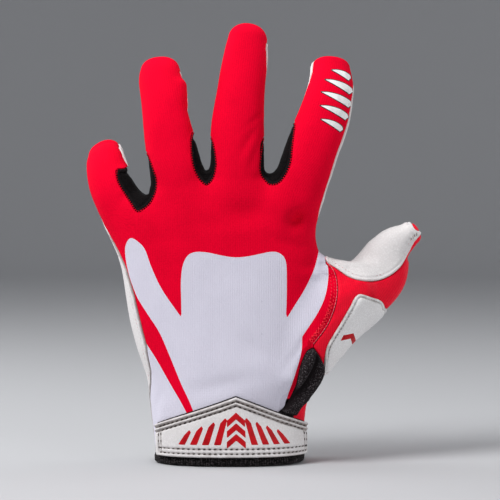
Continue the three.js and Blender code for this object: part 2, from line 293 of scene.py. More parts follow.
@dataclass
class Form:
    """A soft form as distances on a grid: negative inside, zero on its surface.

    Attributes:
        low: The grid's low corner.
        spacing: How far apart its points are.
        values: The distances.
        room: How far round a limb its fillet is worked out.
        carve_room: How far round a carved outline its rounding is worked out.
    """

    low: Array
    spacing: float
    values: Array
    room: float = 12.0
    carve_room: float = 4.0

    @staticmethod
    def grid(low: Sequence[float], high: Sequence[float], spacing: float) -> "Form":
        """Makes an empty form whose grid covers a box."""
        counts = [int(math.ceil((b - a) / spacing)) + 1 for a, b in zip(low, high)]
        return Form(np.array(low, float), spacing, np.full(counts, EMPTY))

    def places(self, low: Array, high: Array) -> tuple[tuple[slice, ...], Array]:
        """Lists the grid's points in a box.

        Args:
            low: The box's low corner.
            high: The box's high corner.

        Returns:
            The part of the grid as slices, and its points, one row each.
        """
        first = np.maximum(((low - self.low) / self.spacing).astype(int), 0)
        last = np.minimum(((high - self.low) / self.spacing).astype(int) + 2, self.values.shape)
        axes = [self.low[i] + np.arange(first[i], last[i]) * self.spacing for i in range(3)]
        points = np.stack(np.meshgrid(*axes, indexing="ij"), axis=-1).reshape(-1, 3)
        return tuple(slice(a, b) for a, b in zip(first, last)), points

    def add(self, limb: Limb) -> None:
        """Joins a limb to the form, with a fillet."""
        at = limb.stations()
        reach = max(at["width"].max(), at["depth"].max()) + self.room
        block, points = self.places(at["middle"].min(0) - reach, at["middle"].max(0) + reach)
        distance = limb.local(points)[0].reshape(self.values[block].shape)
        self.values[block] = smooth_union(self.values[block], distance, limb.blend)

    def carve(self, closed: Array, reach: float, blend: float) -> None:
        """Takes away what lies in an outline seen from the front, and rounds the edges.

        Args:
            closed: The outline's points, as (x, z).
            reach: How far to the front and to the back it is taken away.
            blend: The size of the rounding.
        """
        low, high = closed.min(0) - self.carve_room, closed.max(0) + self.carve_room
        block, points = self.places(np.array([low[0], -reach, low[1]]), np.array([high[0], reach, high[1]]))
        depth = inside_distance(points[:, [0, 2]], closed).reshape(self.values[block].shape)
        self.values[block] = -smooth_union(-self.values[block], -depth, blend)

    def distance(self, points: Array) -> Array:
        """Reads the distance at any points, blended between the grid's."""
        place = (points - self.low) / self.spacing
        cell = np.clip(place.astype(int), 0, np.array(self.values.shape) - 2)
        return read_grid(self.values, cell, np.clip(place - cell, 0, 1))

    def normal(self, points: Array) -> Array:
        """Reads the direction out of the surface at any points."""
        steps = self.spacing * np.eye(3)
        return unit(np.stack([self.distance(points + step) - self.distance(points - step)
                              for step in steps], axis=1))

    def front(self, places: Array, start: float = -45.0, end: float = 35.0, step: float = 0.5) -> Array:
        """Finds the surface behind places as seen from the back of the hand.

        Args:
            places: Places as (x, z), one row each.
            start: The y from which to look.
            end: The y at which to stop.
            step: How far to go at a time.

        Returns:
            Points on the surface, one row each.
        """
        found = np.full(len(places), end)
        before = np.full(len(places), np.inf)
        points = np.stack([places[:, 0], np.full(len(places), start), places[:, 1]], axis=1)
        for depth in np.arange(start, end, step):
            points[:, 1] = depth
            here = self.distance(points)
            crossed = (here <= 0) & (found >= end)
            slope = np.minimum(here[crossed] - before[crossed], -1e-6)
            found[crossed] = depth - step * here[crossed] / slope
            before = here
        points[:, 1] = found
        return points

    def surface(self, passes: int = 4) -> "Sheet":
        """Draws the form's surface as a mesh of triangles.

        Args:
            passes: How often the mesh is evened.

        Returns:
            The surface.
        """
        inside = self.values < 0
        shape = np.array(self.values.shape) - 1
        views = [tuple(slice(s, s + n) for s, n in zip(corner, shape)) for corner in CORNERS]
        count = sum(inside[view].astype(int) for view in views)
        cells = np.argwhere((count > 0) & (count < 8))
        index = np.full(shape, -1)
        index[tuple(cells.T)] = np.arange(len(cells))
        values = [self.values[tuple((cells + corner).T)] for corner in CORNERS]
        total, crossed = np.zeros((len(cells), 3)), np.zeros(len(cells))
        for a in range(8):
            for b in (a | 1, a | 2, a | 4):
                if b == a:
                    continue
                cuts = (values[a] < 0) != (values[b] < 0)
                share = values[a] / np.where(cuts, values[a] - values[b], 1)
                total += cuts[:, None] * (CORNERS[a] + share[:, None] * (CORNERS[b] - CORNERS[a]))
                crossed += cuts
        points = self.low + self.spacing * (cells + total / crossed[:, None])
        quads = []
        for axis in range(3):
            one, two = (axis + 1) % 3, (axis + 2) % 3
            step = np.eye(3, dtype=int)
            ahead = tuple(slice(1, None) if i == axis else slice(None) for i in range(3))
            back = tuple(slice(None, -1) if i == axis else slice(None) for i in range(3))
            edges = np.argwhere(inside[back] != inside[ahead])
            edges = edges[((edges > 0) & (edges < shape)).take([one, two], axis=1).all(1)]
            ring = [edges - step[one] - step[two], edges - step[two], edges, edges - step[one]]
            quad = np.stack([index[tuple(cell.T)] for cell in ring], axis=1)
            outward = inside[tuple(edges.T)]
            quads.append(np.where(outward[:, None], quad, quad[:, ::-1]))
        quad = np.vstack(quads)
        shorter = (np.linalg.norm(points[quad[:, 0]] - points[quad[:, 2]], axis=1)
                   <= np.linalg.norm(points[quad[:, 1]] - points[quad[:, 3]], axis=1))[:, None]
        first = np.where(shorter, quad[:, [0, 1, 2]], quad[:, [0, 1, 3]])
        second = np.where(shorter, quad[:, [0, 2, 3]], quad[:, [1, 2, 3]])
        sheet = Sheet(points, np.vstack([first, second]))
        for _ in range(passes):
            sheet.relax(0.5)
            sheet.points -= self.distance(sheet.points)[:, None] * self.normal(sheet.points)
        return sheet


# Meshes in the making


def border(triangles: Array) -> Array:
    """Lists the edges that only one triangle has, each running as that triangle does."""
    directed = np.stack([triangles, np.roll(triangles, -1, axis=1)], axis=2).reshape(-1, 2)
    _, inverse, counts = np.unique(np.sort(directed, axis=1), axis=0, return_inverse=True, return_counts=True)
    return directed[counts[inverse.ravel()] == 1]


@dataclass
class Sheet:
    """A surface of triangles with named columns of values at its points.

    Attributes:
        points: Its points.
        triangles: Its triangles, as point numbers.
        columns: The named values at its points.
        plain: Its triangles before rows of points were added at its edge, for a face that nobody sees.
    """

    points: Array
    triangles: Array
    columns: dict[str, Array] = field(default_factory=dict)
    plain: Array | None = None

    def edges(self) -> tuple[Array, Array]:
        """Lists the edges.

        Returns:
            Each edge once as two point numbers, and for each triangle the numbers of its three edges.
        """
        pairs = np.sort(np.stack([self.triangles, np.roll(self.triangles, -1, axis=1)], axis=2), axis=2)
        unique, inverse = np.unique(pairs.reshape(-1, 2), axis=0, return_inverse=True)
        return unique, inverse.reshape(-1, 3)

    def relax(self, share: float) -> None:
        """Moves each point towards the middle of its neighbours."""
        edges, _ = self.edges()
        total, count = np.zeros_like(self.points), np.zeros(len(self.points))
        for a, b in ((0, 1), (1, 0)):
            np.add.at(total, edges[:, a], self.points[edges[:, b]])
            np.add.at(count, edges[:, a], 1)
        middle = total / np.maximum(count, 1)[:, None]
        self.points += share * (middle - self.points)

    def _grown(self, ends: Array, share: Array) -> None:
        """Adds points between pairs of points, with all their columns."""
        blend = share[:, None]
        added = self.points[ends[:, 0]] * (1 - blend) + self.points[ends[:, 1]] * blend
        self.points = np.vstack([self.points, added])
        for name, values in self.columns.items():
            weight = blend if values.ndim == 2 else share
            added = values[ends[:, 0]] * (1 - weight) + values[ends[:, 1]] * weight
            self.columns[name] = np.concatenate([values, added])

    def split(self, column: str, level: float) -> None:
        """Cuts the triangles along the line where a column has a level, and keeps both sides.

        Args:
            column: The column's name.
            level: The level.
        """
        values = self.columns[column] - level
        edges, of_triangle = self.edges()
        ends = values[edges]
        cut = (ends[:, 0] > 0) != (ends[:, 1] > 0)
        new = np.full(len(edges), -1)
        new[cut] = len(self.points) + np.arange(cut.sum())
        gap = ends[cut, 0] - ends[cut, 1]
        share = np.clip(ends[cut, 0] / np.where(gap == 0, 1, gap), SLIVER, 1 - SLIVER)
        self._grown(edges[cut], share)
        self.columns[column][len(values):] = level
        above = values > 0
        mixed = above[self.triangles].any(1) & ~above[self.triangles].all(1)
        whole = self.triangles[~mixed]
        part, part_edges = self.triangles[mixed], of_triangle[mixed]
        ups = above[part]
        lone_up = ups.sum(1) == 1
        lone = np.where(lone_up, ups.argmax(1), (~ups).argmax(1))
        rows = np.arange(len(part))
        a, b, c = (part[rows, (lone + i) % 3] for i in range(3))
        ab = new[part_edges[rows, lone]]
        ac = new[part_edges[rows, (lone + 2) % 3]]
        pieces = [np.stack([a, ab, ac], 1), np.stack([ab, b, c], 1), np.stack([ab, c, ac], 1)]
        self.triangles = np.vstack([whole, *pieces])

    def kept(self, wanted: Array) -> "Sheet":
        """Copies the triangles that are wanted, with the points they use."""
        triangles = self.triangles[wanted]
        used, inverse = np.unique(triangles, return_inverse=True)
        columns = {name: values[used].copy() for name, values in self.columns.items()}
        return Sheet(self.points[used].copy(), inverse.reshape(-1, 3), columns)

    def cut_out(self, column: str, level: float) -> "Sheet":
        """Copies the part where a column is above a level, with a clean edge."""
        near = self.kept(self.columns[column][self.triangles].max(1) > level)
        near.split(column, level)
        return near.kept(near.columns[column][near.triangles].mean(1) > level)

    def finer(self) -> None:
        """Splits each triangle in four."""
        edges, of_triangle = self.edges()
        first = len(self.points)
        self._grown(edges, np.full(len(edges), 0.5))
        a, b, c = self.triangles.T
        ab, bc, ca = (first + of_triangle[:, i] for i in range(3))
        quarters = ((a, ab, ca), (ab, b, bc), (ca, bc, c), (ab, bc, ca))
        self.triangles = np.vstack([np.stack(quarter, 1) for quarter in quarters])
    def inner(self) -> Array:
        """Chooses triangles for the inner face: the plain ones, where they have the same border."""
        if self.plain is None:
            return self.triangles
        ours, plain = (np.unique(border(triangles), axis=0) for triangles in (self.triangles, self.plain))
        return self.plain if np.array_equal(ours, plain) else self.triangles

    def level_line(self, column: str, level: float, passes: int = 8) -> tuple[Array, Array]:
        """Follows the longest line where a column has a level.

        Args:
            column: The column.
            level: The level.
            passes: How often the line is smoothed.

        Returns:
            The line's points and the directions out of the surface.
        """
        part = self.cut_out(column, level)
        following = {int(start): int(end) for start, end in border(part.triangles)}
        best: list[int] = []
        while following:
            at = next(iter(following))
            chain = [at]
            while at in following:
                at = following.pop(at)
                chain.append(at)
            best = chain if len(chain) > len(best) else best
        line, out = part.points[best], part.columns["out"][best]
        for _ in range(passes):
            line[1:-1] = 0.5 * line[1:-1] + 0.25 * (line[:-2] + line[2:])
        return line, out

    def largest(self) -> "Sheet":
        """Keeps the largest connected part."""
        label = np.arange(len(self.points))
        while True:
            low = label[self.triangles].min(1)
            fresh = label.copy()
            for i in range(3):
                np.minimum.at(fresh, self.triangles[:, i], low)
            fresh = fresh[fresh]
            if (fresh == label).all():
                break
            label = fresh
        names, counts = np.unique(label[self.triangles[:, 0]], return_counts=True)
        return self.kept(label[self.triangles[:, 0]] == names[counts.argmax()])

    def evened(self, values: Array) -> Array:
        """Scales values so that they rise by about one a millimetre along the surface.

        Args:
            values: The values at the points.

        Returns:
            The scaled values.
        """
        corners = self.points[self.triangles]
        one, two = corners[:, 1] - corners[:, 0], corners[:, 2] - corners[:, 0]
        normal = np.cross(one, two)
        area = np.linalg.norm(normal, axis=1)
        normal = unit(normal)
        rise = values[self.triangles]
        first, second = (rise[:, 1] - rise[:, 0])[:, None], (rise[:, 2] - rise[:, 0])[:, None]
        slope = np.cross(two, normal) * first + np.cross(normal, one) * second
        slope /= np.maximum(area, TINY)[:, None]
        steep, total = np.zeros(len(self.points)), np.zeros(len(self.points))
        for i in range(3):
            np.add.at(steep, self.triangles[:, i], np.linalg.norm(slope, axis=1) * area)
            np.add.at(total, self.triangles[:, i], area)
        return values / np.clip(steep / np.maximum(total, TINY), 0.3, 3)


@dataclass(frozen=True)
class Grain:
    """Smooth random relief on a lattice, the same at each run.

    Attributes:
        pitch: How far apart its bumps are.
        seed: Which relief it is.
        stretch: How much longer the bumps are in each direction.
    """

    pitch: float
    seed: int
    stretch: Triple = (1.0, 1.0, 1.0)

    def at(self, points: Array) -> Array:
        """Reads the relief, from -1 to 1, at places in millimetres."""
        lattice = np.random.default_rng(self.seed).uniform(-1, 1, (LATTICE, LATTICE, LATTICE))
        place = points / (self.pitch * np.array(self.stretch))
        cell = np.floor(place).astype(int)
        lattice = np.pad(lattice, (0, 1), mode="wrap")
        return read_grid(lattice, cell % LATTICE, smooth_step(place - cell, 0, 1))


@dataclass
class Solid:
    """A closed surface whose triangles each have the number of a finish."""

    points: Array
    triangles: Array
    finish: Array

    @staticmethod
    def joined(solids: Sequence["Solid"]) -> "Solid":
        """Puts several closed surfaces in one."""
        shift = np.cumsum([0] + [len(solid.points) for solid in solids[:-1]])
        return Solid(np.vstack([solid.points for solid in solids]),
                     np.vstack([solid.triangles + n for solid, n in zip(solids, shift)]),
                     np.concatenate([solid.finish for solid in solids]))


def shell(sheet: Sheet, outer: Array, inner: Array | float, mark: Array | None = None) -> Solid:
    """Gives a cut-out sheet the thickness of its cloth.

    Args:
        sheet: The sheet, with a column out that holds its directions.
        outer: How far the outer face stands from the sheet at each point.
        inner: How far the inner face stands from it.
        mark: Values at the points: a triangle with positive ones gets finish 1, and the others 0.

    Returns:
        The closed piece.
    """
    faces = [sheet.points + sheet.columns["out"] * np.reshape(lift, (-1, 1)) for lift in (outer, inner)]
    count = len(sheet.points)
    start, end = border(sheet.triangles).T
    walls = [np.stack([end, start, start + count], 1), np.stack([end, start + count, end + count], 1)]
    triangles = np.vstack([sheet.triangles, sheet.inner()[:, ::-1] + count, *walls])
    finish = np.zeros(len(triangles), int)
    if mark is not None:
        finish[:len(sheet.triangles)] = mark[sheet.triangles].mean(1) > 0
    return Solid(np.vstack(faces), triangles, finish)


def profile(depth: Array, table: Places) -> Array:
    """Reads a height for each depth behind an edge from a table of (depth, height)."""
    return np.interp(depth, *zip(*table))


@dataclass(frozen=True)
class Thread:
    """Sewing thread, as a row of short stitches.

    Attributes:
        width: The thread's diameter.
        pitch: From the start of one stitch to the start of the next.
        rise: How far the middle of a stitch stands above its ends.
        lean: The turn of each stitch from the line it follows, in degrees.
        zigzag: Whether each second stitch leans the other way.
    """

    width: float
    length: float
    pitch: float
    rise: float = 0.15
    lean: float = 0.0
    sides: int = 6
    zigzag: bool = False

    def sewn(self, line: Array, out: Array) -> Solid:
        """Sews along a line.

        Args:
            line: Points of the line on the surface.
            out: The directions out of the surface there.

        Returns:
            The stitches as one solid.
        """
        lengths = lengths_along(line)
        count = max(2, int(lengths[-1] / self.pitch))
        middles = (np.arange(count) + 0.5) * lengths[-1] / count
        centre, up = read_along(middles, lengths, line), read_along(middles, lengths, out)
        behind, before = (read_along(middles + step, lengths, line) for step in (-0.3, 0.3))
        forward = unit(before - behind)
        across = unit(np.cross(up, forward))
        turned = math.radians(self.lean) * (1 - 2 * (np.arange(count) % 2) * self.zigzag)[:, None]
        ahead = forward * np.cos(turned) + across * np.sin(turned)
        aside = across * np.cos(turned) - forward * np.sin(turned)
        rings = []
        for share, swell in STITCH:
            lift = self.rise * (1 - share * share) - SINK * self.width * abs(share) ** 3
            middle = centre + ahead * share * self.length / 2 + up * lift
            for angle in np.arange(self.sides) * 2 * math.pi / self.sides:
                way = aside * math.cos(angle) + up * math.sin(angle)
                rings.append(middle + way * swell * self.width / 2)
        points = np.stack(rings, axis=1)
        per = points.shape[1]
        last = per - self.sides
        faces = []
        for ring in range(0, last, self.sides):
            for side in range(self.sides):
                a, b = ring + side, ring + (side + 1) % self.sides
                faces += [(a, b, b + self.sides), (a, b + self.sides, a + self.sides)]
        for side in range(1, self.sides - 1):
            faces += [(0, side + 1, side), (last, last + side, last + side + 1)]
        block = np.array(faces)[:, ::-1]
        triangles = (block[None] + (np.arange(count) * per)[:, None, None]).reshape(-1, 3)
        return Solid(points.reshape(-1, 3), triangles, np.zeros(len(triangles), int))


# The hand


@dataclass(frozen=True)
class Dent:
    """A soft hollow in the cloth, or a swelling where its depth is negative.

    Attributes:
        x: Where its middle lies, and likewise z.
        long: How far it reaches along its length, and likewise wide across it.
        turn: The turn of its length from level, in degrees.
    """

    x: float
    z: float
    long: float
    wide: float
    turn: float
    depth: float

    def at(self, points: Array) -> Array:
        """Measures how far the dent sinks the surface at places."""
        angle = math.radians(self.turn)
        x, z = points[:, 0] - self.x, points[:, 2] - self.z
        ahead, aside = x * math.cos(angle) + z * math.sin(angle), z * math.cos(angle) - x * math.sin(angle)
        return self.depth * np.exp(-(ahead / self.long) ** 2 - (aside / self.wide) ** 2)


PALM_ROWS = (
    # height, left, right, front, back
    (-18.5, -36.6, 36.6, -24, 24), (2.5, -36.9, 36.6, -24, 24), (26.5, -39.4, 38.0, -23, 24),
    (41.5, -41.3, 42.6, -22, 24), (56.5, -46.5, 45.5, -20.5, 23.5), (71.5, -50.3, 46, -19.5, 22),
    (88.5, -52.8, 46, -18.5, 19), (102.5, -54, 44.4, -18, 16.5), (114.5, -55.6, 42.4, -17.2, 14),
    (124.5, -55, 43, -16.3, 12.5), (132.5, -49, 44.4, -14.8, 11.5), (138.5, -36, 40, -12.6, 10.5),
    (143, -27, 33, -9, 7),
)
LITTLE = Limb(
    ((-42, 2, 98, 9.6, 10), (-52.8, 1, 122.5, 10.9, 9.6), (-59.4, 4, 137.5, 11, 9.2),
    (-62.2, 11, 147.5, 10.1, 8.8),
     (-63.0, 20, 151.1, 9.1, 7.8)), tip=8.9, roll=-7, square=3.5)
RING = Limb(
    ((-21, -3, 116.5, 12.5, 11), (-25.8, -4, 142.5, 13.2, 10.6), (-29.8, -1.5, 159.5, 12.4, 9.8),
     (-33, 4, 176.5, 11, 9.2), (-35, 12, 189.5, 10.8, 8.8), (-35.2, 17, 194.5, 10, 8.4)), tip=7)
MIDDLE = Limb(
    ((3, -3, 116.5, 13.5, 11.5), (3.7, -4, 142.5, 13.7, 11), (3.8, -2, 162.5, 13.5, 10.2),
     (5.3, 3, 182.5, 12.0, 9.5), (7.4, 8.5, 200.5, 11.1, 8.8), (8.7, 12, 210.4, 9.9, 8.3)), tip=8.7)
INDEX = Limb(
    ((26.5, -3, 116.5, 13.2, 11.5), (35.3, -4, 140.5, 13.5, 11), (41, -1.5, 156.5, 13.4, 10.3),
     (47, 4, 172.5, 12.8, 9.6), (50.6, 11, 186.5, 11.2, 9), (50.6, 17, 195.4, 9.8, 8.4)), tip=5.2, roll=3,
    square=2.7)
THUMB = Limb(
    ((25, 3, 37, 9.9, 14), (38, 4, 54, 12.4, 14), (52, 6, 69, 12.8, 13), (65.8, 9, 80.8, 12.8, 12),
     (76, 11, 92, 12.8, 11), (81.2, 12.5, 105.3, 10, 9.6), (90.3, 13, 112.7, 6.1, 8)), tip=5.4, blend=7,
    square=2.4)
THUMB_WEB = Limb(
    ((33, -3, 42, 9, 14), (43, -2.5, 64, 12.5, 13), (51, -1.5, 79, 13.5, 11.5), (56, 0.5, 88, 13, 9.5),
     (56, 2.5, 94.4, 12.5, 8)), tip=4.6, blend=9, square=2.6)
SLACK = (
    Limb(((65.4, 11, 94.6, 6, 6.5), (74.0, 12, 103.6, 6, 6.5)), tip=5, blend=3.5),
    Limb(((-54.6, 3, 143.6, 4.2, 5.5), (-51.2, 2.5, 137.6, 4.6, 6), (-47.4, 1, 129.4, 4.8, 7)), tip=3,
         blend=4),
    Limb(((-35.2, -1, 146, 4.6, 6), (-34.9, -1, 139.5, 4.6, 6.5), (-34.9, -1, 134, 4.6, 7)), tip=3, blend=3),
    Limb(((-20.9, -1, 160.5, 3.6, 6), (-18.4, -1, 153.5, 3.8, 6.5), (-15.9, -1.5, 146, 4.1, 7),
          (-14.2, -2, 140.6, 4.4, 8)), tip=3, blend=3),
    Limb(((-25.2, 6, 179, 3.2, 5), (-25.2, 8, 187, 3.2, 5)), tip=3, blend=4),
    Limb(((42.5, -1, 99, 4.4, 8), (48.5, 0.5, 97.4, 4.0, 7.5), (54, 2, 96.2, 3.4, 7)), tip=3, blend=4),
)
CLEFTS = (
    ((-51.6, 146), (-49.2, 141.5), (-47.3, 138.5), (-45, 135.6), (-43, 133.8), (-41.5, 133.2), (-40.6, 134.2),
     (-40.3, 137), (-40.3, 142), (-41.1, 147), (-46, 149)),
    ((-18, 162.5), (-16.9, 159.5), (-15.6, 155.5), (-14.6, 152), (-13.6, 149), (-12.3, 146.2), (-11.5, 145),
     (-11, 147), (-10.7, 150.5), (-10.3, 155), (-10, 160), (-12, 165)),
)


@dataclass
class Hand:
    """The glove's soft form, with how deep each place on it lies in each of the panels.

    Attributes:
        palm_high: The high corner of the palm's part of the box from low to high.
        roundness: 2 makes the palm's sections ellipses, and more makes them squarer.
        fingers: Each finger, with how far in front of its middle the seam on either side lies, at places
            from its root to its tip.
        slack: Swellings where the cloth is slack between or beside the fingers.
        clefts: The outlines of the points in which the gaps between two fingers end, as (x, z).
        ulnar_seam: Where the back panel ends on the little finger's side, as (height, y).
        middle_seam_y: Where it ends elsewhere, to the right of seam_turn_x.
        knuckles: Between which heights the seams of the palm give way to those of the fingers.
        thumb_seam: The seam between the hand and the thumb, and wrist_side how it goes on down the wrist.
        slit: The outline of the slit in the wrist, which ends behind at slit_rear.
        thumb_front_seam: The edge of the thumb's red, and thumb_rear_seam the same seen from behind.
        thumb_middle: Where the thumb's front ends, as its y at x = 0 and its turn in degrees.
        palm_dents: Soft creases in the leather of the palm.
        dents: Soft folds and hollows in the knit of the back.
        facing: How far the cloth has to face a side to show none and all of that side's dents.
        rear: The y behind which a place no longer counts as seen from the back of the hand.
    """

    low: Triple = (-76.0, -35.0, -14.0)
    high: Triple = (101.0, 37.0, 225.0)
    palm_high: Triple = (60.0, 37.0, 158.0)

    palm: Rows = PALM_ROWS
    roundness: float = 2.5
    fingers: tuple[tuple[Limb, Rows], ...] = (
        (LITTLE, ((0, -2.0, -2.0), (0.62, -3.0, -0.5), (0.74, -3.0, 1.2), (0.84, -3.0, 2.2),
                  (0.93, -2.4, 2.2), (1, -1.6, 1.6))),
        (RING, ((0, -2.0, -2.0), (0.6, -3.0, -3.0), (0.84, -3.0, -1.0), (0.92, -3.0, 1.6), (1, -3.0, -3.0))),
        (MIDDLE, ((0, -2.0, -2.0), (0.7, -3.0, -3.0), (0.8, -3.0, 0.8), (0.9, -3.0, 3.2), (0.97, -3.0, 2.4),
                  (1, -3.0, -2.0))),
        (INDEX, ((0, -2.0, -0.5), (0.12, -2.0, 3.0), (0.3, -2.5, 4.2), (0.7, -3.0, 4.3), (0.84, -1.5, 2.4),
                 (0.93, 1.0, -1.5), (1, 1.2, -3.0))),
    )
    thumb: Limb = THUMB
    web: Limb = THUMB_WEB
    slack: tuple[Limb, ...] = SLACK
    clefts: tuple[Places, ...] = CLEFTS
    cleft_reach: float = 24.0
    cleft_rounding: float = 1.2
    ulnar_seam: Places = (
        (-23.5, 0), (30, -1), (37, -6), (45.5, -10), (58, -11.5), (70.5, -10.8), (83, -9.8), (95.5, -7.8),
        (108, -3.8), (117, -0.8), (126.5, 0.6))
    middle_seam_y: float = 2.0
    seam_turn_x: float = -10.0
    knuckles: Pair = (114.0, 129.0)
    gussets: dict[str, Places] = field(default_factory=lambda: {
        "little_ring": (
            (-56.3, 146.3), (-56.7, 142.8), (-55.4, 138.6), (-52.4, 133.8), (-49.0, 128.6), (-47.0, 125.7),
            (-45.2, 124.9), (-42.9, 126), (-39.6, 128.7), (-37.8, 131.8), (-36.5, 135.6), (-36.1, 139),
            (-36.5, 142.5), (-37.7, 145.9), (-39.2, 149.8), (-41.1, 154), (-45, 156.5), (-50, 147.5)),
        "ring_middle": (
            (-18.5, 164.5), (-19.4, 159.5), (-19, 152), (-17.5, 145.5), (-15, 141), (-11.6, 138.2),
            (-8.4, 141), (-6.8, 146.5), (-6.8, 151.5), (-8, 158.5), (-9.5, 162), (-14, 166.5)),
        "middle_index": (
            (16.8, 161.5), (15.2, 152.5), (14.9, 144.5), (17.5, 140.3), (20, 138.3), (24.3, 139.1),
            (27.8, 143.5), (30.3, 149.5), (31, 156.5), (31.8, 163.5), (32.2, 169), (28, 172.5)),
    })
    thumb_seam: Places = (
        (52, 126.5), (47.5, 102.5), (52, 95), (53.4, 88.5), (52.8, 80.5), (50, 72), (46.5, 66), (41.4, 59.5))
    wrist_side: Places = (
        (41.4, 57), (38.5, 55), (35.5, 48), (33.5, 39.5), (31, 32), (28.5, 27.5), (25.5, -23.5))
    slit: Places = (
        (41.0, 57.8), (37.8, 55.8), (35, 49), (33.4, 40.5), (31.6, 33.6), (29.2, 29.2), (25.4, 25.4),
        (20.5, 20), (20, 8.5), (33, 8.5), (33.2, 20.5), (35.1, 26), (37.3, 30), (39.5, 34), (42.2, 38.2),
        (44.8, 43), (46.2, 47.5), (45.8, 51.5), (43.4, 55.6))
    slit_rear: float = 3.0
    thumb_front_seam: Places = (
        (40, 107.5), (47.6, 101.4), (52.4, 97.2), (58.2, 92.8), (63.6, 90.5), (69, 89.8), (74.8, 90.5),
        (80.6, 93), (85.6, 97), (88.8, 102), (91.5, 107), (94.3, 111), (104, 121))
    thumb_rear_seam: Places = (
        (38, 16.5), (42, 40.5), (54, 54.5), (66, 66.5), (75, 80.5), (80, 94.5), (85, 107.5), (91, 115.5),
        (97, 126.5))
    thumb_middle: Pair = (-4.0, 10.6)
    thumb_tip: Places = ((91, 122), (91.9, 117.4), (94.0, 114.9), (99, 115.1), (99, 122))
    palm_dents: tuple[Dent, ...] = (
        Dent(-8, 104, 34, 1.8, -6, 0.9), Dent(2, 88, 30, 1.8, 16, 0.8), Dent(26, 70, 26, 2.0, 62, 1.0),
        Dent(-5, 30, 32, 2.2, 2, 0.7), Dent(-5, 22, 30, 2.0, -3, 0.5), Dent(-58, 128, 9, 1.5, -8, 0.7),
        Dent(-27, 146, 10, 1.6, -4, 0.7), Dent(4, 148, 11, 1.6, 0, 0.7), Dent(38, 146, 11, 1.6, 12, 0.7),
        Dent(-31, 168, 9, 1.4, -6, 0.5), Dent(4.5, 172, 10, 1.4, 0, 0.5), Dent(46, 168, 10, 1.4, 14, 0.5),
        Dent(-28, 66, 26, 13, 80, -0.8), Dent(22, 92, 12, 9, 20, -0.6),
    )
    dents: tuple[Dent, ...] = (
        Dent(34.2, 121.2, 4.5, 4.0, 8, 4.4), Dent(36, 118, 9, 7, 30, 1.2), Dent(7.5, 125, 10, 5.5, -8, 1.7),
        Dent(-4, 120, 15, 4.5, 5, 0.5), Dent(-33, 112, 10, 5, 20, 0.5), Dent(18.5, 127, 8, 4, 75, -0.5),
        Dent(9, 160, 8, 2.0, 60, 0.6), Dent(12, 152, 7, 2.0, 70, 0.5), Dent(13, 171, 6, 1.6, 40, 0.4),
        Dent(-27, 174, 6, 1.8, -50, 0.5), Dent(36, 60, 9, 2.2, 62, 0.6), Dent(30, 52, 10, 2.6, 60, 0.3),
        Dent(37, 40, 15, 7.5, 62, 1.5), Dent(-42, 40, 7, 2.5, 95, 0.4),
        Dent(-36, 30, 8, 2.4, 70, 0.4), Dent(-4, 40, 20, 4.0, 12, 0.6), Dent(16, 56, 16, 5, -35, 0.5),
        Dent(4, 88, 12, 9, 0, -0.4), Dent(46, 108, 6, 2.2, 60, 0.4), Dent(56, 78, 12, 2.0, 40, 0.5),
        Dent(69, 84, 11, 10, -20, -3.2), Dent(25, 23, 19, 13, -24, 3.0), Dent(92, 112.4, 1.9, 0.8, -31, 1.0),
        Dent(90.8, 110.2, 1.9, 0.8, -31, 1.0), Dent(89.6, 108.0, 1.7, 0.8, -31, 0.9),
        Dent(46.5, 94.2, 9, 2.6, 0, -1.2), Dent(47, 98.8, 8, 2.2, 0, 0.8),
    )
    facing: Pair = (0.1, 0.6)
    rear: float = 30.0

    def __post_init__(self) -> None:
        """Shapes the form and its surface."""
        self.form = Form.grid(self.low, self.high, 1.0)
        block, points = self.form.places(np.array(self.low), np.array(self.palm_high))
        self.form.values[block] = self._palm_distance(points).reshape(self.form.values[block].shape)
        for limb in [finger for finger, _ in self.fingers] + [self.thumb, self.web, *self.slack]:
            self.form.add(limb)
        for cleft in self.clefts:
            self.form.carve(outline(cleft, steps=3), self.cleft_reach, self.cleft_rounding)
        self.sheet = self.form.surface()
        self._measure()
        normals = self.form.normal(self.sheet.points)
        self.sheet.columns["out"] = normals
        self.sheet.points = self.sheet.points + normals * self.relief(self.sheet.points, normals)[:, None]

    def _palm_distance(self, points: Array) -> Array:
        """Measures how far places lie outside the palm and wrist."""
        rows = spline(np.array(self.palm), STEPS)
        left, right, front, back = (np.interp(points[:, 2], rows[:, 0], rows[:, i]) for i in range(1, 5))
        wide, deep = (right - left) / 2, (back - front) / 2
        x, y = (points[:, 0] - (left + right) / 2) / wide, (points[:, 1] - (front + back) / 2) / deep
        power = self.roundness
        ring = np.maximum(power_norm(x, y, power), 0.05)
        slope = np.hypot(np.abs(x / ring) ** (power - 1) / wide, np.abs(y / ring) ** (power - 1) / deep)
        return np.maximum((ring - 1) / np.maximum(slope, 1e-3), points[:, 2] - rows[-1, 0])

    def relief(self, points: Array, normals: Array) -> Array:
        """Measures how far folds and slack cloth move the surface out of the form."""
        height = -smooth_step(-normals[:, 1], *self.facing) * sum(dent.at(points) for dent in self.dents)
        height -= smooth_step(normals[:, 1], *self.facing) * sum(dent.at(points) for dent in self.palm_dents)
        return height + 0.22 * Grain(19, 5).at(points) + 0.08 * Grain(7, 6, (1, 1, 1.6)).at(points)

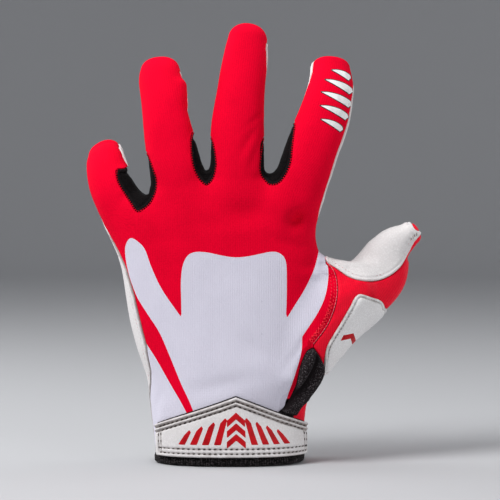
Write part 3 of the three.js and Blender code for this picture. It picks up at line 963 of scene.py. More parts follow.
    def _back_side(self, points: Array) -> Array:
        """Measures how deep places lie on the side of the glove that is the back of the hand."""
        x, y, z = points.T
        depth = np.where(x < self.seam_turn_x, profile(z, self.ulnar_seam), self.middle_seam_y) - y
        nearest = np.full(len(points), np.inf)
        finger_depth = depth.copy()
        for limb, seams in self.fingers:
            distance, place, across, deep = limb.local(points)
            places, left, right = zip(*seams)
            side = smooth_step(across, -5.0, 5.0)
            shift = (1 - side) * np.interp(place, places, left) + side * np.interp(place, places, right)
            closer = distance < nearest
            nearest[closer] = distance[closer]
            finger_depth[closer] = (-deep - shift)[closer]
        share = smooth_step(z, *self.knuckles)
        return depth * (1 - share) + finger_depth * share

    def _measure(self) -> None:
        """Writes how deep each point of the sheet lies in each region as the sheet's columns."""
        sheet = self.sheet
        points = sheet.points
        flat = points[:, [0, 2]]
        far, low = 140.0, -20.0

        def depth(closed: Array) -> Array:
            """Measures the depth inside an outline seen from the back of the hand."""
            return sheet.evened(inside_distance(flat, closed))

        def beyond(*seams: Places, ends: Places) -> Array:
            """Measures the depth on the thumb's side of a seam, in an outline that far corners close."""
            return depth(np.vstack([*(spline(np.array(seam), 4) for seam in seams), ends]))

        thumb = beyond(self.thumb_seam, self.wrist_side, ends=((far, low), (far, far)))
        below = beyond(self.thumb_front_seam, ends=((far, far), (far, low), (0, low)))
        outside = beyond(self.thumb_rear_seam, ends=((far, far), (far, low)))
        slit = np.minimum(depth(outline(self.slit, steps=4)), sheet.evened(self.slit_rear - points[:, 1]))
        webs = {name: depth(outline(places, steps=4)) for name, places in self.gussets.items()}
        back = sheet.evened(self._back_side(points))
        middle, turn = self.thumb_middle[0], math.radians(self.thumb_middle[1])
        facing = sheet.evened(middle + points[:, 0] * math.sin(turn) - points[:, 1] * math.cos(turn))
        red = np.maximum.reduce([np.minimum(below, facing), np.minimum(outside, -facing),
                                 np.minimum(below, outside), depth(outline(self.thumb_tip, steps=3))])
        above_hem = points[:, 2] - HEM
        in_hand = np.minimum.reduce([-thumb, -slit, above_hem] + [-web for web in webs.values()])
        in_thumb = np.minimum.reduce([thumb, -slit, above_hem])
        sheet.columns.update({
            "back_panel": np.minimum(back, in_hand), "palm_panel": np.minimum(-back, in_hand),
            "thumb_back_panel": np.minimum(in_thumb, red), "thumb_palm_panel": np.minimum(in_thumb, -red),
            "wrist_gusset": slit, "thumb": thumb, "lap": np.maximum.reduce([thumb, *webs.values()]),
            "wale": self._wale(points),
        })
        sheet.columns.update({f"finger_gusset_{name}": np.minimum(web, -thumb) for name, web in webs.items()})

    def _wale(self, points: Array) -> Array:
        """Measures across the cloth in millimetres, so that ribs can run along the fingers."""
        across = points[:, 0] + np.sign(points[:, 0]) * 0.5 * np.maximum(points[:, 1] + 14, 0)
        for limb in [finger for finger, _ in self.fingers] + [self.thumb]:
            distance, place, aside, deep = limb.local(points)
            lay = aside + np.sign(aside) * 0.5 * np.maximum(deep + 5, 0) + limb.rows[0][0]
            share = smooth_step(place, 0.05, 0.35) * (1 - smooth_step(distance, 1.0, 5.0))
            across = across * (1 - share) + lay * share
        return across

    def on_front(self, places: Array, height: float = 0.0) -> tuple[Array, Array]:
        """Finds the cloth behind places seen from the back of the hand.

        Args:
            places: Places as (x, z), one row each.
            height: How far above the cloth the points are wanted.

        Returns:
            Points on the cloth and the directions out of it.
        """
        points = self.form.front(places)
        points = points[points[:, 1] < self.rear]
        normals = self.form.normal(points)
        return points + normals * (self.relief(points, normals) + height)[:, None], normals


@dataclass(frozen=True)
class Edge:
    """How a cut edge of cloth or leather is turned in at its seam.

    Attributes:
        gap: The distance from the seam line to the cut edge.
        turn: How low the cloth lies near the edge, as (distance from the seam line, height).
        inner: How far in the inner face lies.
        outer: How far out the outer face lies.
    """

    gap: float = 0.1
    turn: Places = ((0.1, -0.6), (0.3, -0.36), (0.6, -0.16), (1.1, -0.04), (1.7, 0.0))
    inner: float = -1.4
    outer: float = 0.0

    def cut(self, sheet: Sheet, column: str, finer: int = 0) -> Sheet:
        """Cuts a piece out of a sheet with rows of points along its edge.

        Args:
            sheet: The sheet to cut from.
            column: The column that says how deep each place lies in the piece.
            finer: How often the triangles are split in four first.

        Returns:
            The piece's sheet.
        """
        near = sheet.kept(sheet.columns[column][sheet.triangles].max(1) > -1)
        for _ in range(finer):
            near.finer()
        piece = near.cut_out(column, self.gap).largest()
        piece.plain = piece.triangles
        for depth, _ in self.turn[1:]:
            piece.split(column, depth)
        return piece

    def height(self, depth: Array) -> Array:
        """Reads how high the outer face lies at depths behind the seam line."""
        return self.outer + profile(depth, self.turn)


# Finishes


class Slot(Enum):
    """The part's material slots."""

    RED_KNIT = "red_knit"
    WHITE_LEATHER = "white_leather"
    BLACK_MESH = "black_mesh"
    BLACK_LOOP = "black_loop"
    BLACK_BINDING = "black_binding"


def linear(code: str) -> tuple[float, float, float, float]:
    """Turns an sRGB hex colour such as E0002B to linear light."""
    parts = [int(code[i:i + 2], 16) / 255 for i in (0, 2, 4)]
    red, green, blue = (p / 12.92 if p <= 0.04045 else ((p + 0.055) / 1.055) ** 2.4 for p in parts)
    return red, green, blue, 1.0


def node(tree: Tree, kind: str, inputs: dict | None = None, **settings: object) -> Node:
    """Adds a node to a material.

    Args:
        tree: The material's node tree.
        kind: The node's type, without the word ShaderNode that it starts with.
        inputs: Values for its sockets by name or number. A socket is linked, and so is a node's first output.
        settings: Values for its own properties.

    Returns:
        The node.
    """
    made = tree.nodes.new(f"ShaderNode{kind}")
    for name, value in settings.items():
        setattr(made, name, value)
    for name, value in (inputs or {}).items():
        if isinstance(value, Node):
            value = value.outputs[0]
        if isinstance(value, Socket):
            tree.links.new(value, made.inputs[name])
        else:
            made.inputs[name].default_value = value
    return made


# Settings that many nodes share.
TIMES = {"operation": "MULTIPLY"}
ADD = {"operation": "MULTIPLY_ADD"}
SMOOTH = {"interpolation_type": "SMOOTHSTEP"}


def ribbed(tree: Tree, across: Socket, pitch: float, noise: Node, bend: float) -> Node:
    """Makes ribs from a place across them in millimetres, which noise bends, with heights from 0 to 1."""
    bent = node(tree, "Math", {0: noise, 1: bend, 2: across}, **ADD)
    turned = node(tree, "Math", {0: bent, 1: 2 * math.pi / pitch}, **TIMES)
    wave = node(tree, "Math", {0: turned}, operation="SINE")
    return node(tree, "Math", {0: wave, 1: 0.5, 2: 0.5}, **ADD)


@dataclass(frozen=True)
class Finish:
    """A material and how its surface was made.

    Attributes:
        colour: Its colour as an sRGB hex value.
        shade: Its colour where it is worn or dirty or in the depth of its weave, and also its painted shade
            at seams, in valleys and on faces turned from the light.
        roughness: From 0, polished, to 1, dull.
        gloss: How much of the mirrored light its fibres let through, 0.5 being all.
        sheen: The soft light that loose fibres catch.
        relief: How high its relief is, in millimetres.
    """

    name: str
    colour: str
    shade: str
    roughness: float
    ior: float = 1.5
    gloss: float = 0.5
    sheen: float = 0.0
    relief: float = 0.05

    def material(self) -> bpy.types.Material:
        """Makes the material, or finds the one already made."""
        known = bpy.data.materials.get(self.name)
        if known:
            return known
        made = bpy.data.materials.new(self.name)
        made.use_nodes = True
        made.diffuse_color = linear(self.colour)
        tree = made.node_tree
        tree.nodes.clear()
        where = node(tree, "TexCoord").outputs["Object"]
        place = node(tree, "VectorMath", {0: where, 1: (1 / MM, 1 / MM, 1 / MM)}, **TIMES)
        cloth = {name: node(tree, "Attribute", attribute_name=name).outputs["Fac"]
                 for name in ("seam", "wale", "course")}
        lit, height = self.surface(tree, place, cloth)
        colour = node(tree, "Mix", {0: lit, 6: linear(self.shade), 7: linear(self.colour)}, data_type="RGBA")
        bump = node(tree, "Bump", {"Height": height, "Distance": self.relief * MM, "Strength": 1.0})
        shader = node(tree, "BsdfPrincipled", {
            "Base Color": colour.outputs[2], "Roughness": self.roughness, "IOR": self.ior, "Normal": bump,
            "Specular IOR Level": self.gloss, "Sheen Weight": self.sheen, "Sheen Roughness": 0.5})
        node(tree, "OutputMaterial", {"Surface": shader})
        return made

    def surface(self, tree: Tree, place: Node, cloth: Reads) -> Surface:
        """Makes what is seen of the cloth.

        Args:
            tree: The material's node tree.
            place: The place on the surface in millimetres.
            cloth: The distance from a seam, which on some pieces also marks painted shade and painted
                highlight, the place across the ribs and the place along them.

        Returns:
            The nodes of the light, from the finish's shade at 0 to its colour at 1, and of the height.
        """
        raise NotImplementedError


@dataclass(frozen=True)
class PrintedKnit(Finish):
    """Polyester and elastane warp knit with a dye print: a close matt face with fine upright ribs.

    The real ribs stand 0.5 mm apart, finer than the picture shows, so they are drawn at 1.1 mm, as the
    photograph's own pixels show them.
    """

    rib: float = 1.1
    course: float = 0.8
    wander: float = 6.0
    fuzz: float = 0.55
    cloud: float = 16.0

    def surface(self, tree: Tree, place: Node, cloth: Reads) -> Surface:
        """Makes ribs and courses, with clouds in the dye, and the colour darker where the seam column is low:
        painted shade near the seams, with some dirt.
        """
        wander = node(tree, "TexNoise", {"Vector": place, "Scale": 1 / self.wander})
        fuzz = node(tree, "TexNoise", {"Vector": place, "Scale": 1 / self.fuzz, "Detail": 3.0})
        clouds = node(tree, "TexNoise", {"Vector": place, "Scale": 1 / self.cloud})
        ribs = ribbed(tree, cloth["wale"], self.rib, wander, 0.5)
        courses = ribbed(tree, cloth["course"], self.course, wander, 0.4)
        loops = node(tree, "Math", {0: courses, 1: 0.45, 2: ribs}, **ADD)
        dye = node(tree, "MapRange", {0: clouds, 1: 0.3, 2: 0.7, 3: 0.34, 4: 0.5}, **SMOOTH)
        dye = node(tree, "Math", {0: ribs, 1: 0.14, 2: dye}, **ADD)
        dye = node(tree, "Math", {0: fuzz, 1: 0.7, 2: dye}, **ADD)
        # Painted shade, with some dirt: the colour goes towards the shade colour where the seam column is
        # low.
        turned = node(tree, "MapRange", {0: cloth["seam"], 2: 0.6, 3: 0.2}, **SMOOTH)
        return (node(tree, "Math", {0: dye, 1: turned}, **TIMES),
                node(tree, "Math", {0: fuzz, 1: 1.2, 2: loops}, **ADD))


@dataclass(frozen=True)
class SyntheticLeather(Finish):
    """Microfibre leather with a pressed grain: even and matt, with soft grey in its seams that is dirt with
    painted shade.

    The grain's pebbles are 0.5 mm, and are drawn at 0.8 mm to show.
    """

    pebble: float = 0.8
    crease: float = 3.2
    pore: float = 0.5

    def surface(self, tree: Tree, place: Node, cloth: Reads) -> Surface:
        """Makes pebbles, fine creases, and dirt with painted shade along the seams, wherever the seam column
        is low.
        """
        pebbles = node(tree, "TexVoronoi", {"Vector": place, "Scale": 1 / self.pebble}, feature="SMOOTH_F1")
        creases = node(tree, "TexNoise", {"Vector": place, "Scale": 1 / self.crease, "Detail": 4.0})
        pores = node(tree, "TexNoise", {"Vector": place, "Scale": 1 / self.pore, "Detail": 3.0})
        # Dirt and painted shade: darker towards the shade colour where the seam column is low, in blotches
        # from the creases.
        grime_and_shade = node(tree, "Math", {0: creases, 1: 1.6, 2: cloth["seam"]}, **ADD)
        grime_and_shade = node(tree, "MapRange", {0: grime_and_shade, 1: 0.75, 2: 2.0, 3: 0.1}, **SMOOTH)
        grain = node(tree, "Math", {0: pores, 1: 0.9, 2: pebbles}, **ADD)
        grain = node(tree, "MapRange", {0: grain, 1: 0.35, 3: 1.0, 4: 0.78}, **SMOOTH)
        return (node(tree, "Math", {0: grime_and_shade, 1: grain}, **TIMES),
                node(tree, "Math", {0: pebbles, 1: -0.8, 2: creases}, **ADD))


@dataclass(frozen=True)
class MeshCloth(Finish):
    """Black polyester air mesh: rows of small holes between matt yarns.

    The holes are 0.6 mm apart, and are drawn at 1 mm to show.
    """

    hole: float = 1.0
    lint: float = 0.45

    def surface(self, tree: Tree, place: Node, cloth: Reads) -> Surface:
        """Makes the holes and the yarns between them, with a painted highlight on the band at the edge and
        painted shade inside it.
        """
        holes = node(tree, "TexVoronoi", {"Vector": place, "Scale": 1 / self.hole, "Randomness": 0.35})
        lint = node(tree, "TexNoise", {"Vector": place, "Scale": 1 / self.lint, "Detail": 3.0})
        yarn = node(tree, "MapRange", {0: holes, 1: 0.15, 2: 0.5}, **SMOOTH)
        lint = node(tree, "MapRange", {0: lint, 1: 0.35, 2: 0.7}, **SMOOTH)
        # Painted highlight on the band at the edge, where the seam column is high, and painted shade inside
        # it.
        band = node(tree, "MapRange", {0: cloth["seam"], 2: 0.5, 3: 0.25}, **SMOOTH)
        lit = node(tree, "Math", {0: yarn, 1: lint}, **TIMES)
        return (node(tree, "Math", {0: lit, 1: band}, **TIMES),
                node(tree, "Math", {0: lint, 1: 0.4, 2: yarn}, **ADD))


@dataclass(frozen=True)
class BrushedLoop(Finish):
    """Black knitted loop, brushed to a nap: very dull, with specks of grey where fibres catch the light."""

    tuft: float = 0.7
    fibre: float = 0.4

    def surface(self, tree: Tree, place: Node, cloth: Reads) -> Surface:
        """Makes tufts with lighter tips, with painted shade where the seam column is low: in the valley
        between two folds and along the edge.
        """
        tufts = node(tree, "TexNoise", {"Vector": place, "Scale": 1 / self.tuft, "Detail": 3.0})
        curls = node(tree, "TexVoronoi", {"Vector": place, "Scale": 1.3 / self.tuft})
        fibres = node(tree, "TexNoise", {"Vector": place, "Scale": 1 / self.fibre})
        specks = node(tree, "Math", {0: fibres, 1: 0.9, 2: tufts}, **ADD)
        specks = node(tree, "MapRange", {0: specks, 1: 0.98, 2: 1.26}, **SMOOTH)
        # Painted shade: the specks fade out where the seam column is low.
        ridge = node(tree, "MapRange", {0: cloth["seam"], 1: 0.4, 2: 1.8}, **SMOOTH)
        return (node(tree, "Math", {0: specks, 1: ridge}, **TIMES),
                node(tree, "Math", {0: curls, 1: -0.5, 2: tufts}, **ADD))


@dataclass(frozen=True)
class ElasticBinding(Finish):
    """Woven elastic tape folded round the cuff: short upright ribs and a fuzzy edge."""

    rib: float = 1.2
    tuft: float = 0.8

    def surface(self, tree: Tree, place: Node, cloth: Reads) -> Surface:
        """Makes ribs that wander, with lint in them."""
        tufts = node(tree, "TexNoise", {"Vector": place, "Scale": 1 / self.tuft, "Detail": 4.0})
        ribs = ribbed(tree, cloth["wale"], self.rib, tufts, 1.5)
        specks = node(tree, "Math", {0: ribs, 1: 0.12, 2: tufts}, **ADD)
        return (node(tree, "MapRange", {0: specks, 1: 0.52, 2: 0.78}, **SMOOTH),
                node(tree, "Math", {0: ribs, 1: 0.7, 2: tufts}, **ADD))


@dataclass(frozen=True)
class SewingThread(Finish):
    """Bonded nylon thread: two twisted plies with a low gloss."""

    ply: float = 0.35
    tone: float = 2.0

    def surface(self, tree: Tree, place: Node, cloth: Reads) -> Surface:
        """Makes the twist and small changes of tone from stitch to stitch."""
        twist = node(tree, "TexNoise", {"Vector": place, "Scale": 1 / self.ply})
        tone = node(tree, "TexNoise", {"Vector": place, "Scale": 1 / self.tone})
        return node(tree, "MapRange", {0: tone, 1: 0.3, 2: 0.7, 3: 0.2}, **SMOOTH), twist


@dataclass(frozen=True)
class PressedInk(Finish):
    """Thick print on leather: a smooth, slightly glossy skin in which the grain still shows."""

    pebble: float = 0.8
    tone: float = 4.0

    def surface(self, tree: Tree, place: Node, cloth: Reads) -> Surface:
        """Makes a softened grain, with ink a little thinner in places."""
        grain = node(tree, "TexNoise", {"Vector": place, "Scale": 1 / self.pebble, "Detail": 3.0})
        tone = node(tree, "TexNoise", {"Vector": place, "Scale": 1 / self.tone, "Detail": 3.0})
        return node(tree, "MapRange", {0: tone, 1: 0.3, 2: 0.6}, **SMOOTH), grain


RED_KNIT = PrintedKnit("printed_knit_red", "EE002C", "B2001C", 0.85, gloss=0.04)
# A glossier copy of the red knit for the thumb, with a lighter red: the lighter red is painted light.
SATIN_KNIT_LIGHTENED = PrintedKnit("satin_knit_red_lightened", "FB062E", "B2001C", 0.5, gloss=0.11)
WHITE_KNIT = PrintedKnit("printed_knit_white", "DAD7E5", "C7C4D3", 0.82, gloss=0.12, sheen=0.03)
WHITE_LEATHER = SyntheticLeather("microfibre_leather_white", "ECE9E9", "9C938F", 0.6, gloss=0.35, relief=0.09)
# A lighter, glossier copy of the white leather for the thumb's patch: its lighter colour is painted light.
PATCH_LEATHER_LIGHTENED = SyntheticLeather("white_leather_patch_lightened", "F8F7F7", "8F8784", 0.5, gloss=0.4, relief=0.06)
BLACK_MESH = MeshCloth("air_mesh_black", "1E1719", "050304", 0.9, gloss=0.1, sheen=0.02, relief=0.12)
BLACK_LOOP = BrushedLoop("brushed_loop_black", "6E686B", "1C1719", 0.95, gloss=0.08, sheen=0.03, relief=0.14)
BLACK_TAPE = ElasticBinding("elastic_tape_black", "4E484A", "070606", 0.9, gloss=0.1, sheen=0.02, relief=0.25)
DARK_THREAD = SewingThread("sewing_thread_brown", "4A3E38", "1E1714", 0.7, gloss=0.2)
GREY_THREAD = SewingThread("sewing_thread_grey", "A09994", "756E6A", 0.6)
RED_THREAD = SewingThread("sewing_thread_red", "FF2A40", "D00424", 0.55, gloss=0.2)
CRIMSON_THREAD = SewingThread("sewing_thread_crimson", "E4002A", "A8001C", 0.85, gloss=0.04)
# Pale rose thread for a near-continuous row along the thumb's seam: a painted highlight on the fold's edge.
HIGHLIGHT_THREAD = SewingThread("sewing_thread_rose_highlight", "EF8C96", "D2505E", 0.6, gloss=0.3)
PALE_THREAD = SewingThread("sewing_thread_pale", "E0A2A6", "B87478", 0.6, gloss=0.3)
RED_INK = PressedInk("pressed_ink_red", "C40012", "A8000E", 0.5, gloss=0.2)
WHITE_FILM = PressedInk("transfer_film_white", "F2F3F2", "DDDEDF", 0.55, gloss=0.3)
DARK_FILM = PressedInk("transfer_film_dark", "3A1A20", "1C0A0E", 0.6, gloss=0.3)


# Pieces in the scene


@dataclass
class Piece:
    """A finished piece of the glove, ready for the scene.

    Attributes:
        solid: Its closed surface, in millimetres.
        finishes: Its finishes, by the numbers that the triangles have.
        slot: The slot of its main finish. It is not used.
        replaces: The solid of the frame that it stands for, if any.
        columns: Values at its points for its finishes.
        sharp: From which angle between two triangles the edge shows, in degrees.
    """

    name: str
    solid: Solid
    finishes: tuple[Finish, ...]
    slot: Slot
    replaces: str | None = None
    columns: dict[str, Array] = field(default_factory=dict)
    sharp: float = 55.0

    def place(self) -> None:
        """Makes the piece's mesh and puts it on the glove."""
        solid = self.solid
        mesh = bpy.data.meshes.new(self.name)
        used, corners = np.unique(solid.triangles, return_inverse=True)
        mesh.from_pydata((solid.points[used] * MM).tolist(), [], corners.reshape(-1, 3).tolist())
        mesh.shade_smooth()
        for finish in self.finishes:
            mesh.materials.append(finish.material())
        mesh.polygons.foreach_set("material_index", solid.finish.astype(np.int32))
        for name, values in self.columns.items():
            column = mesh.attributes.new(name, "FLOAT", "POINT")
            column.data.foreach_set("value", values[used].astype(np.float32))
        mesh.update()
        mesh.validate()
        mesh.set_sharp_from_angle(angle=math.radians(self.sharp))
        made = bpy.data.objects.new(self.name, mesh)
        bpy.context.scene.collection.objects.link(made)
        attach(made, "root")
        if self.replaces:
            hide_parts(self.replaces)
        log.info("%s: %d triangles", self.name, len(solid.triangles))


def cloth_piece(name: str, sheet: Sheet, outer: Array, inner: Array | float, finishes: tuple[Finish, ...],
                slot: Slot, seam: Array, mark: Array | None = None) -> Piece:
    """Makes a piece of cloth or leather in the place of the solid with its name.

    Args:
        name: Its name.
        sheet: Its cut-out sheet.
        outer: How far its outer face stands from the sheet at each point.
        inner: How far its inner face stands from it.
        finishes: Its finish, and the one for where the mark is positive.
        slot: The slot of its main finish.
        seam: How far each point is from a seam, for its finishes; on some pieces it also marks painted shade
            and painted highlight.
        mark: Values that are positive on the marks, if it has any.

    Returns:
        The piece.
    """
    columns = {"seam": seam, "wale": sheet.columns["wale"], "course": sheet.points[:, 2]}
    return Piece(name, shell(sheet, outer, inner, mark), finishes, slot, name,
                 {column: np.tile(values, 2) for column, values in columns.items()})


# Panels of cloth and leather


@dataclass
class Prints:
    """The white fields that the dye print leaves on the red knit, as outlines seen from the back of the hand.

    Attributes:
        block: The field on the hand, and block_corners its sharp points.
        cuff: The field beside the cuff, and cuff_corners likewise.
        facing: How far the cloth may turn from the front before the print ends.
    """

    block: Places = (
        (-23.8, 73), (-24.0, 82.3), (-24.1, 91.1), (-23.2, 98.7), (-20.8, 103.6), (-17.0, 105.4),
        (-11, 105.2), (-3.4, 103.6), (2.8, 102.8), (8.9, 103.3), (15, 104.5), (20.4, 105.5), (24.0, 105),
        (26.8, 102.8), (28.0, 98.8), (28.2, 91.1), (28.1, 80.7), (27.7, 71.8), (31.9, 78.5), (37.2, 86.9),
        (41.8, 96.5), (44.2, 104.8), (46.2, 108.7), (47.8, 103), (48.7, 97.7), (48.9, 92), (47.2, 83.1),
        (43.3, 74.7), (35.8, 63.4), (35.5, 56.5), (33.6, 49), (31.0, 40.9), (27.2, 28.7), (23, 5), (-10, 2),
        (-17.9, 26.8), (-24, 40.2), (-29.4, 53.2), (-34.8, 65.4), (-40.9, 74.6), (-46.2, 83), (-49.7, 92.4),
        (-51.6, 100.8), (-52.0, 106.8), (-50.6, 110.8), (-48.6, 112), (-45.6, 110.4), (-42, 106.5),
        (-38.6, 97.4), (-33.2, 86.3),
    )
    block_corners: tuple[int, ...] = (0, 17, 28, 33, 34)
    cuff: Places = (
        (-42.8, 61.2), (-37, 53), (-29.4, 40), (-21.8, 27), (-12, 6), (-20, 0), (-52, 0), (-52, 48),
        (-47, 61))
    cuff_corners: tuple[int, ...] = (0, 4, 5, 6, 7, 8)
    facing: float = 0.25
    fade: float = 4.0

    def depth(self, points: Array, out: Array) -> Array:
        """Measures how deep places lie inside the white print."""
        flat = points[:, [0, 2]]
        inside = np.maximum(inside_distance(flat, outline(self.block, self.block_corners)),
                            inside_distance(flat, outline(self.cuff, self.cuff_corners)))
        return np.minimum(inside, self.fade * (self.facing - out[:, 1]))


@dataclass
class Panels:
    """The four large panels: the back and the palm of the hand, and the same two sides of the thumb.

    Attributes:
        lap: Which share of its turned edge the knit loses where it laps over others.
        knit_clean_unshaded: How far from a seam the knit looks at least where its darkening near seams,
            painted shade with some dirt, is left out, and likewise the leather.
        clean_unshaded_heights: Between which heights that sets in, and thumb_clean_unshaded_heights the same
            on the thumb.
        shaded: How far from the thumb's seam the painted shade on the knit is darkest, and how far that
            reaches each way.
        shaded_heights: Where that ends, and where it is complete.
    """

    hand: Hand
    prints: Prints = field(default_factory=Prints)
    knit_edge: Edge = Edge()
    leather_edge: Edge = Edge(gap=0.05, turn=(
        (0.05, -0.5), (0.22, -0.1), (0.5, 0.12), (0.95, 0.16), (1.35, 0.02), (1.7, -0.14), (2.1, 0.02),
        (2.9, 0.1), (4.0, 0.0)), outer=0.15)
    pucker: float = 0.26
    lap: float = 0.8
    knit_clean_unshaded: float = 0.35
    leather_clean_unshaded: float = 1.3
    clean_unshaded_heights: Pair = (108.0, 120.0)
    thumb_clean_unshaded_heights: Pair = (60.0, 85.0)
    shaded: Pair = (2.25, 1.2)
    shaded_heights: Pair = (102.0, 80.0)

    def knit(self, name: str) -> Piece:
        """Cuts one of the two knit panels: the back's has the print, and the thumb's has a satin face.

        Args:
            name: The panel's name.

        Returns:
            The panel.
        """
        sheet = self.knit_edge.cut(self.hand.sheet, name)
        printed = name == "back_panel"
        if printed:
            sheet.columns["print"] = self.prints.depth(sheet.points, sheet.columns["out"])
            sheet.split("print", 0.0)
        height = sheet.points[:, 2]
        # Near its seams the knit is darker, painted shade with some dirt, but not on the fingers.
        seam = np.maximum(sheet.columns[name], self.knit_clean_unshaded * smooth_step(height, *self.clean_unshaded_heights))
        # Painted shade: beside the thumb's seam the hand's knit is drawn darker in a band, fading out higher
        # up.
        if printed:
            middle, half = self.shaded
            away = np.maximum(np.abs(sheet.columns["thumb"] + middle) - half, 0)
            seam = np.minimum(seam, 0.1 + 3 * away + 2 * (1 - smooth_step(height, *self.shaded_heights)))
        return cloth_piece(name, sheet, self.knit_height(sheet, name), self.knit_edge.inner,
                           (RED_KNIT, WHITE_KNIT) if printed else (SATIN_KNIT_LIGHTENED,), Slot.RED_KNIT, seam,
                           sheet.columns.get("print"))

    def knit_height(self, sheet: Sheet, name: str) -> Array:
        """Measures how high a knit panel lies: low at its seams, but not where it laps others."""
        height = self.knit_edge.height(sheet.columns[name])
        if name == "back_panel":
            height = height * (1 - self.lap * smooth_step(sheet.columns["lap"], -2.4, -1.4))
        return height + self._pucker(sheet, name)

    def leather(self, name: str) -> Piece:
        """Cuts one of the two leather panels."""
        sheet = self.leather_edge.cut(self.hand.sheet, name)
        depth = sheet.columns[name]
        heights = self.clean_unshaded_heights if name == "palm_panel" else self.thumb_clean_unshaded_heights
        # Near its seams the leather is darker, dirt with painted shade, but not on the fingers, nor on the
        # thumb above its lower part.
        seam = np.maximum(depth, self.leather_clean_unshaded * smooth_step(sheet.points[:, 2], *heights))
        return cloth_piece(name, sheet, self.leather_edge.height(depth) + self._pucker(sheet, name),
                           self.leather_edge.inner, (WHITE_LEATHER,), Slot.WHITE_LEATHER, seam)

    def _pucker(self, sheet: Sheet, name: str) -> Array:
        """Measures the small puckers beside a panel's seams."""
        depth = sheet.columns[name]
        pucker = Grain(3.1, 11).at(sheet.points) * self.pucker * np.exp(-np.maximum(depth - 0.4, 0) / 2.2)
        return pucker * smooth_step(depth, 0.15, 0.9)

    def build(self) -> list[Piece]:
        """Cuts all four panels."""
        return [self.knit("back_panel"), self.leather("palm_panel"), self.knit("thumb_back_panel"),
                self.leather("thumb_palm_panel")]


@dataclass
class IndexTransfer:
    """Generic slanted bars of white film pressed on the index finger, each with a thin dark border.

    Attributes:
        bars: Each bar, from its pointed left end to its blunt right end, as (x, z, x, z, thickness).
        blade: A bar's outline, as (share of its length, share of its thickness), and sharp its corners.
        film: How high the film stands over the knit, and skin how thick it is.
    """

    panels: Panels
    bars: Rows = (
        (51.0, 195.4, 60.4, 191.0, 3.0), (47.6, 190.6, 61.2, 184.2, 3.5), (45.6, 184.4, 60.6, 177.6, 3.6),
        (45.0, 177.6, 58.8, 171.4, 3.5), (45.2, 170.8, 56.0, 165.4, 3.1))
    blade: Places = (
        (0, 0), (0.25, 0.42), (0.6, 0.66), (0.9, 0.5), (1.0, 0.1), (0.93, -0.42), (0.75, -0.28), (0.4, -0.12))
    sharp: tuple[int, ...] = (0, 4, 5)
    border: float = 0.4
    film: float = 0.1
    skin: float = 0.4

    def _outline(self, left: float, low: float, right: float, high: float, thick: float) -> Array:
        """Draws one bar as a blade that is widest near its blunt end."""
        start, end = np.array([left, low]), np.array([right, high])
        length = float(np.linalg.norm(end - start))
        along = (end - start) / length
        up = np.array([-along[1], along[0]])
        return outline([start + along * a * length + up * b * thick for a, b in self.blade], self.sharp)

    def build(self) -> list[Piece]:
        """Cuts the bars out of the finger's surface."""
        sheet = self.panels.hand.sheet
        x, _, z = sheet.points.T
        near = (x > 38) & (z > 158) & (z < 200) & (sheet.columns["out"][:, 1] < 0.2)
        film = sheet.kept(near[sheet.triangles].all(1))
        for _ in range(2):
            film.finer()
        flat = film.points[:, [0, 2]]
        depths = [inside_distance(flat, self._outline(*bar)) for bar in self.bars]
        film.columns["bars"] = np.maximum.reduce(depths)
        film = film.cut_out("bars", -self.border)
        film.split("bars", 0.0)
        depth = film.columns["bars"] + self.border
        outer = self.panels.knit_height(film, "back_panel") + self.film * smooth_step(depth, -0.1, 0.15)
        piece = cloth_piece("index_transfer", film, outer, outer - self.skin, (DARK_FILM, WHITE_FILM),
                            Slot.RED_KNIT, depth, film.columns["bars"])
        piece.replaces = None
        return [piece]


@dataclass
class FingerGusset:
    """A strip of air mesh between two fingers, with a band and a row of overlock stitches along its edge.

    Attributes:
        band: How wide the band at its edge is, which gets a painted highlight while the mesh inside it gets
            painted shade.
        teeth: The thread of the overlock stitches.
        reach: How far outside the edge they lie, and sunk how deep in the cloth.
    """

    hand: Hand
    between: str
    edge: Edge = Edge(turn=(
        (0.1, -0.8), (0.4, -0.4), (0.9, -0.1), (1.6, -0.05), (2.0, -0.2), (2.4, -0.6), (2.9, -0.65),
        (3.8, -0.4), (5.5, -0.3)), inner=-1.6)
    band: float = 2.2
    teeth: Thread = Thread(width=0.6, length=0.85, pitch=1.25, rise=0.1, lean=82)
    reach: float = 0.3
    sunk: float = 0.16

    def build(self) -> list[Piece]:
        """Cuts the strip and sews its edge."""
        name = f"finger_gusset_{self.between}"
        sheet = self.edge.cut(self.hand.sheet, name, finer=1)
        depth = sheet.columns[name]
        outer = self.edge.height(depth) + 0.1 * Grain(1.6, 21).at(sheet.points)
        # The seam column is high in the band at the edge: painted highlight there, painted shade inside.
        strip = cloth_piece(name, sheet, outer, self.edge.inner, (BLACK_MESH,), Slot.BLACK_MESH,
                            np.clip(self.band - depth, 0, 2))
        line = spline(np.array(self.hand.gussets[self.between]), 10)
        line = line + self.reach * left_of(np.gradient(line, axis=0))
        points, out = self.hand.on_front(line, -self.sunk)
        front = smooth_step(-out[:, 1], 0.0, 0.1) > 0.5
        runs = np.split(np.arange(len(points)), np.flatnonzero(np.diff(front.astype(int))) + 1)
        longest = max((run for run in runs if front[run[0]]), key=len)
        sewn = self.teeth.sewn(points[longest], out[longest])
        return [strip, Piece(f"{name}_overlock", sewn, (CRIMSON_THREAD,), Slot.RED_KNIT)]


# The closure at the wrist


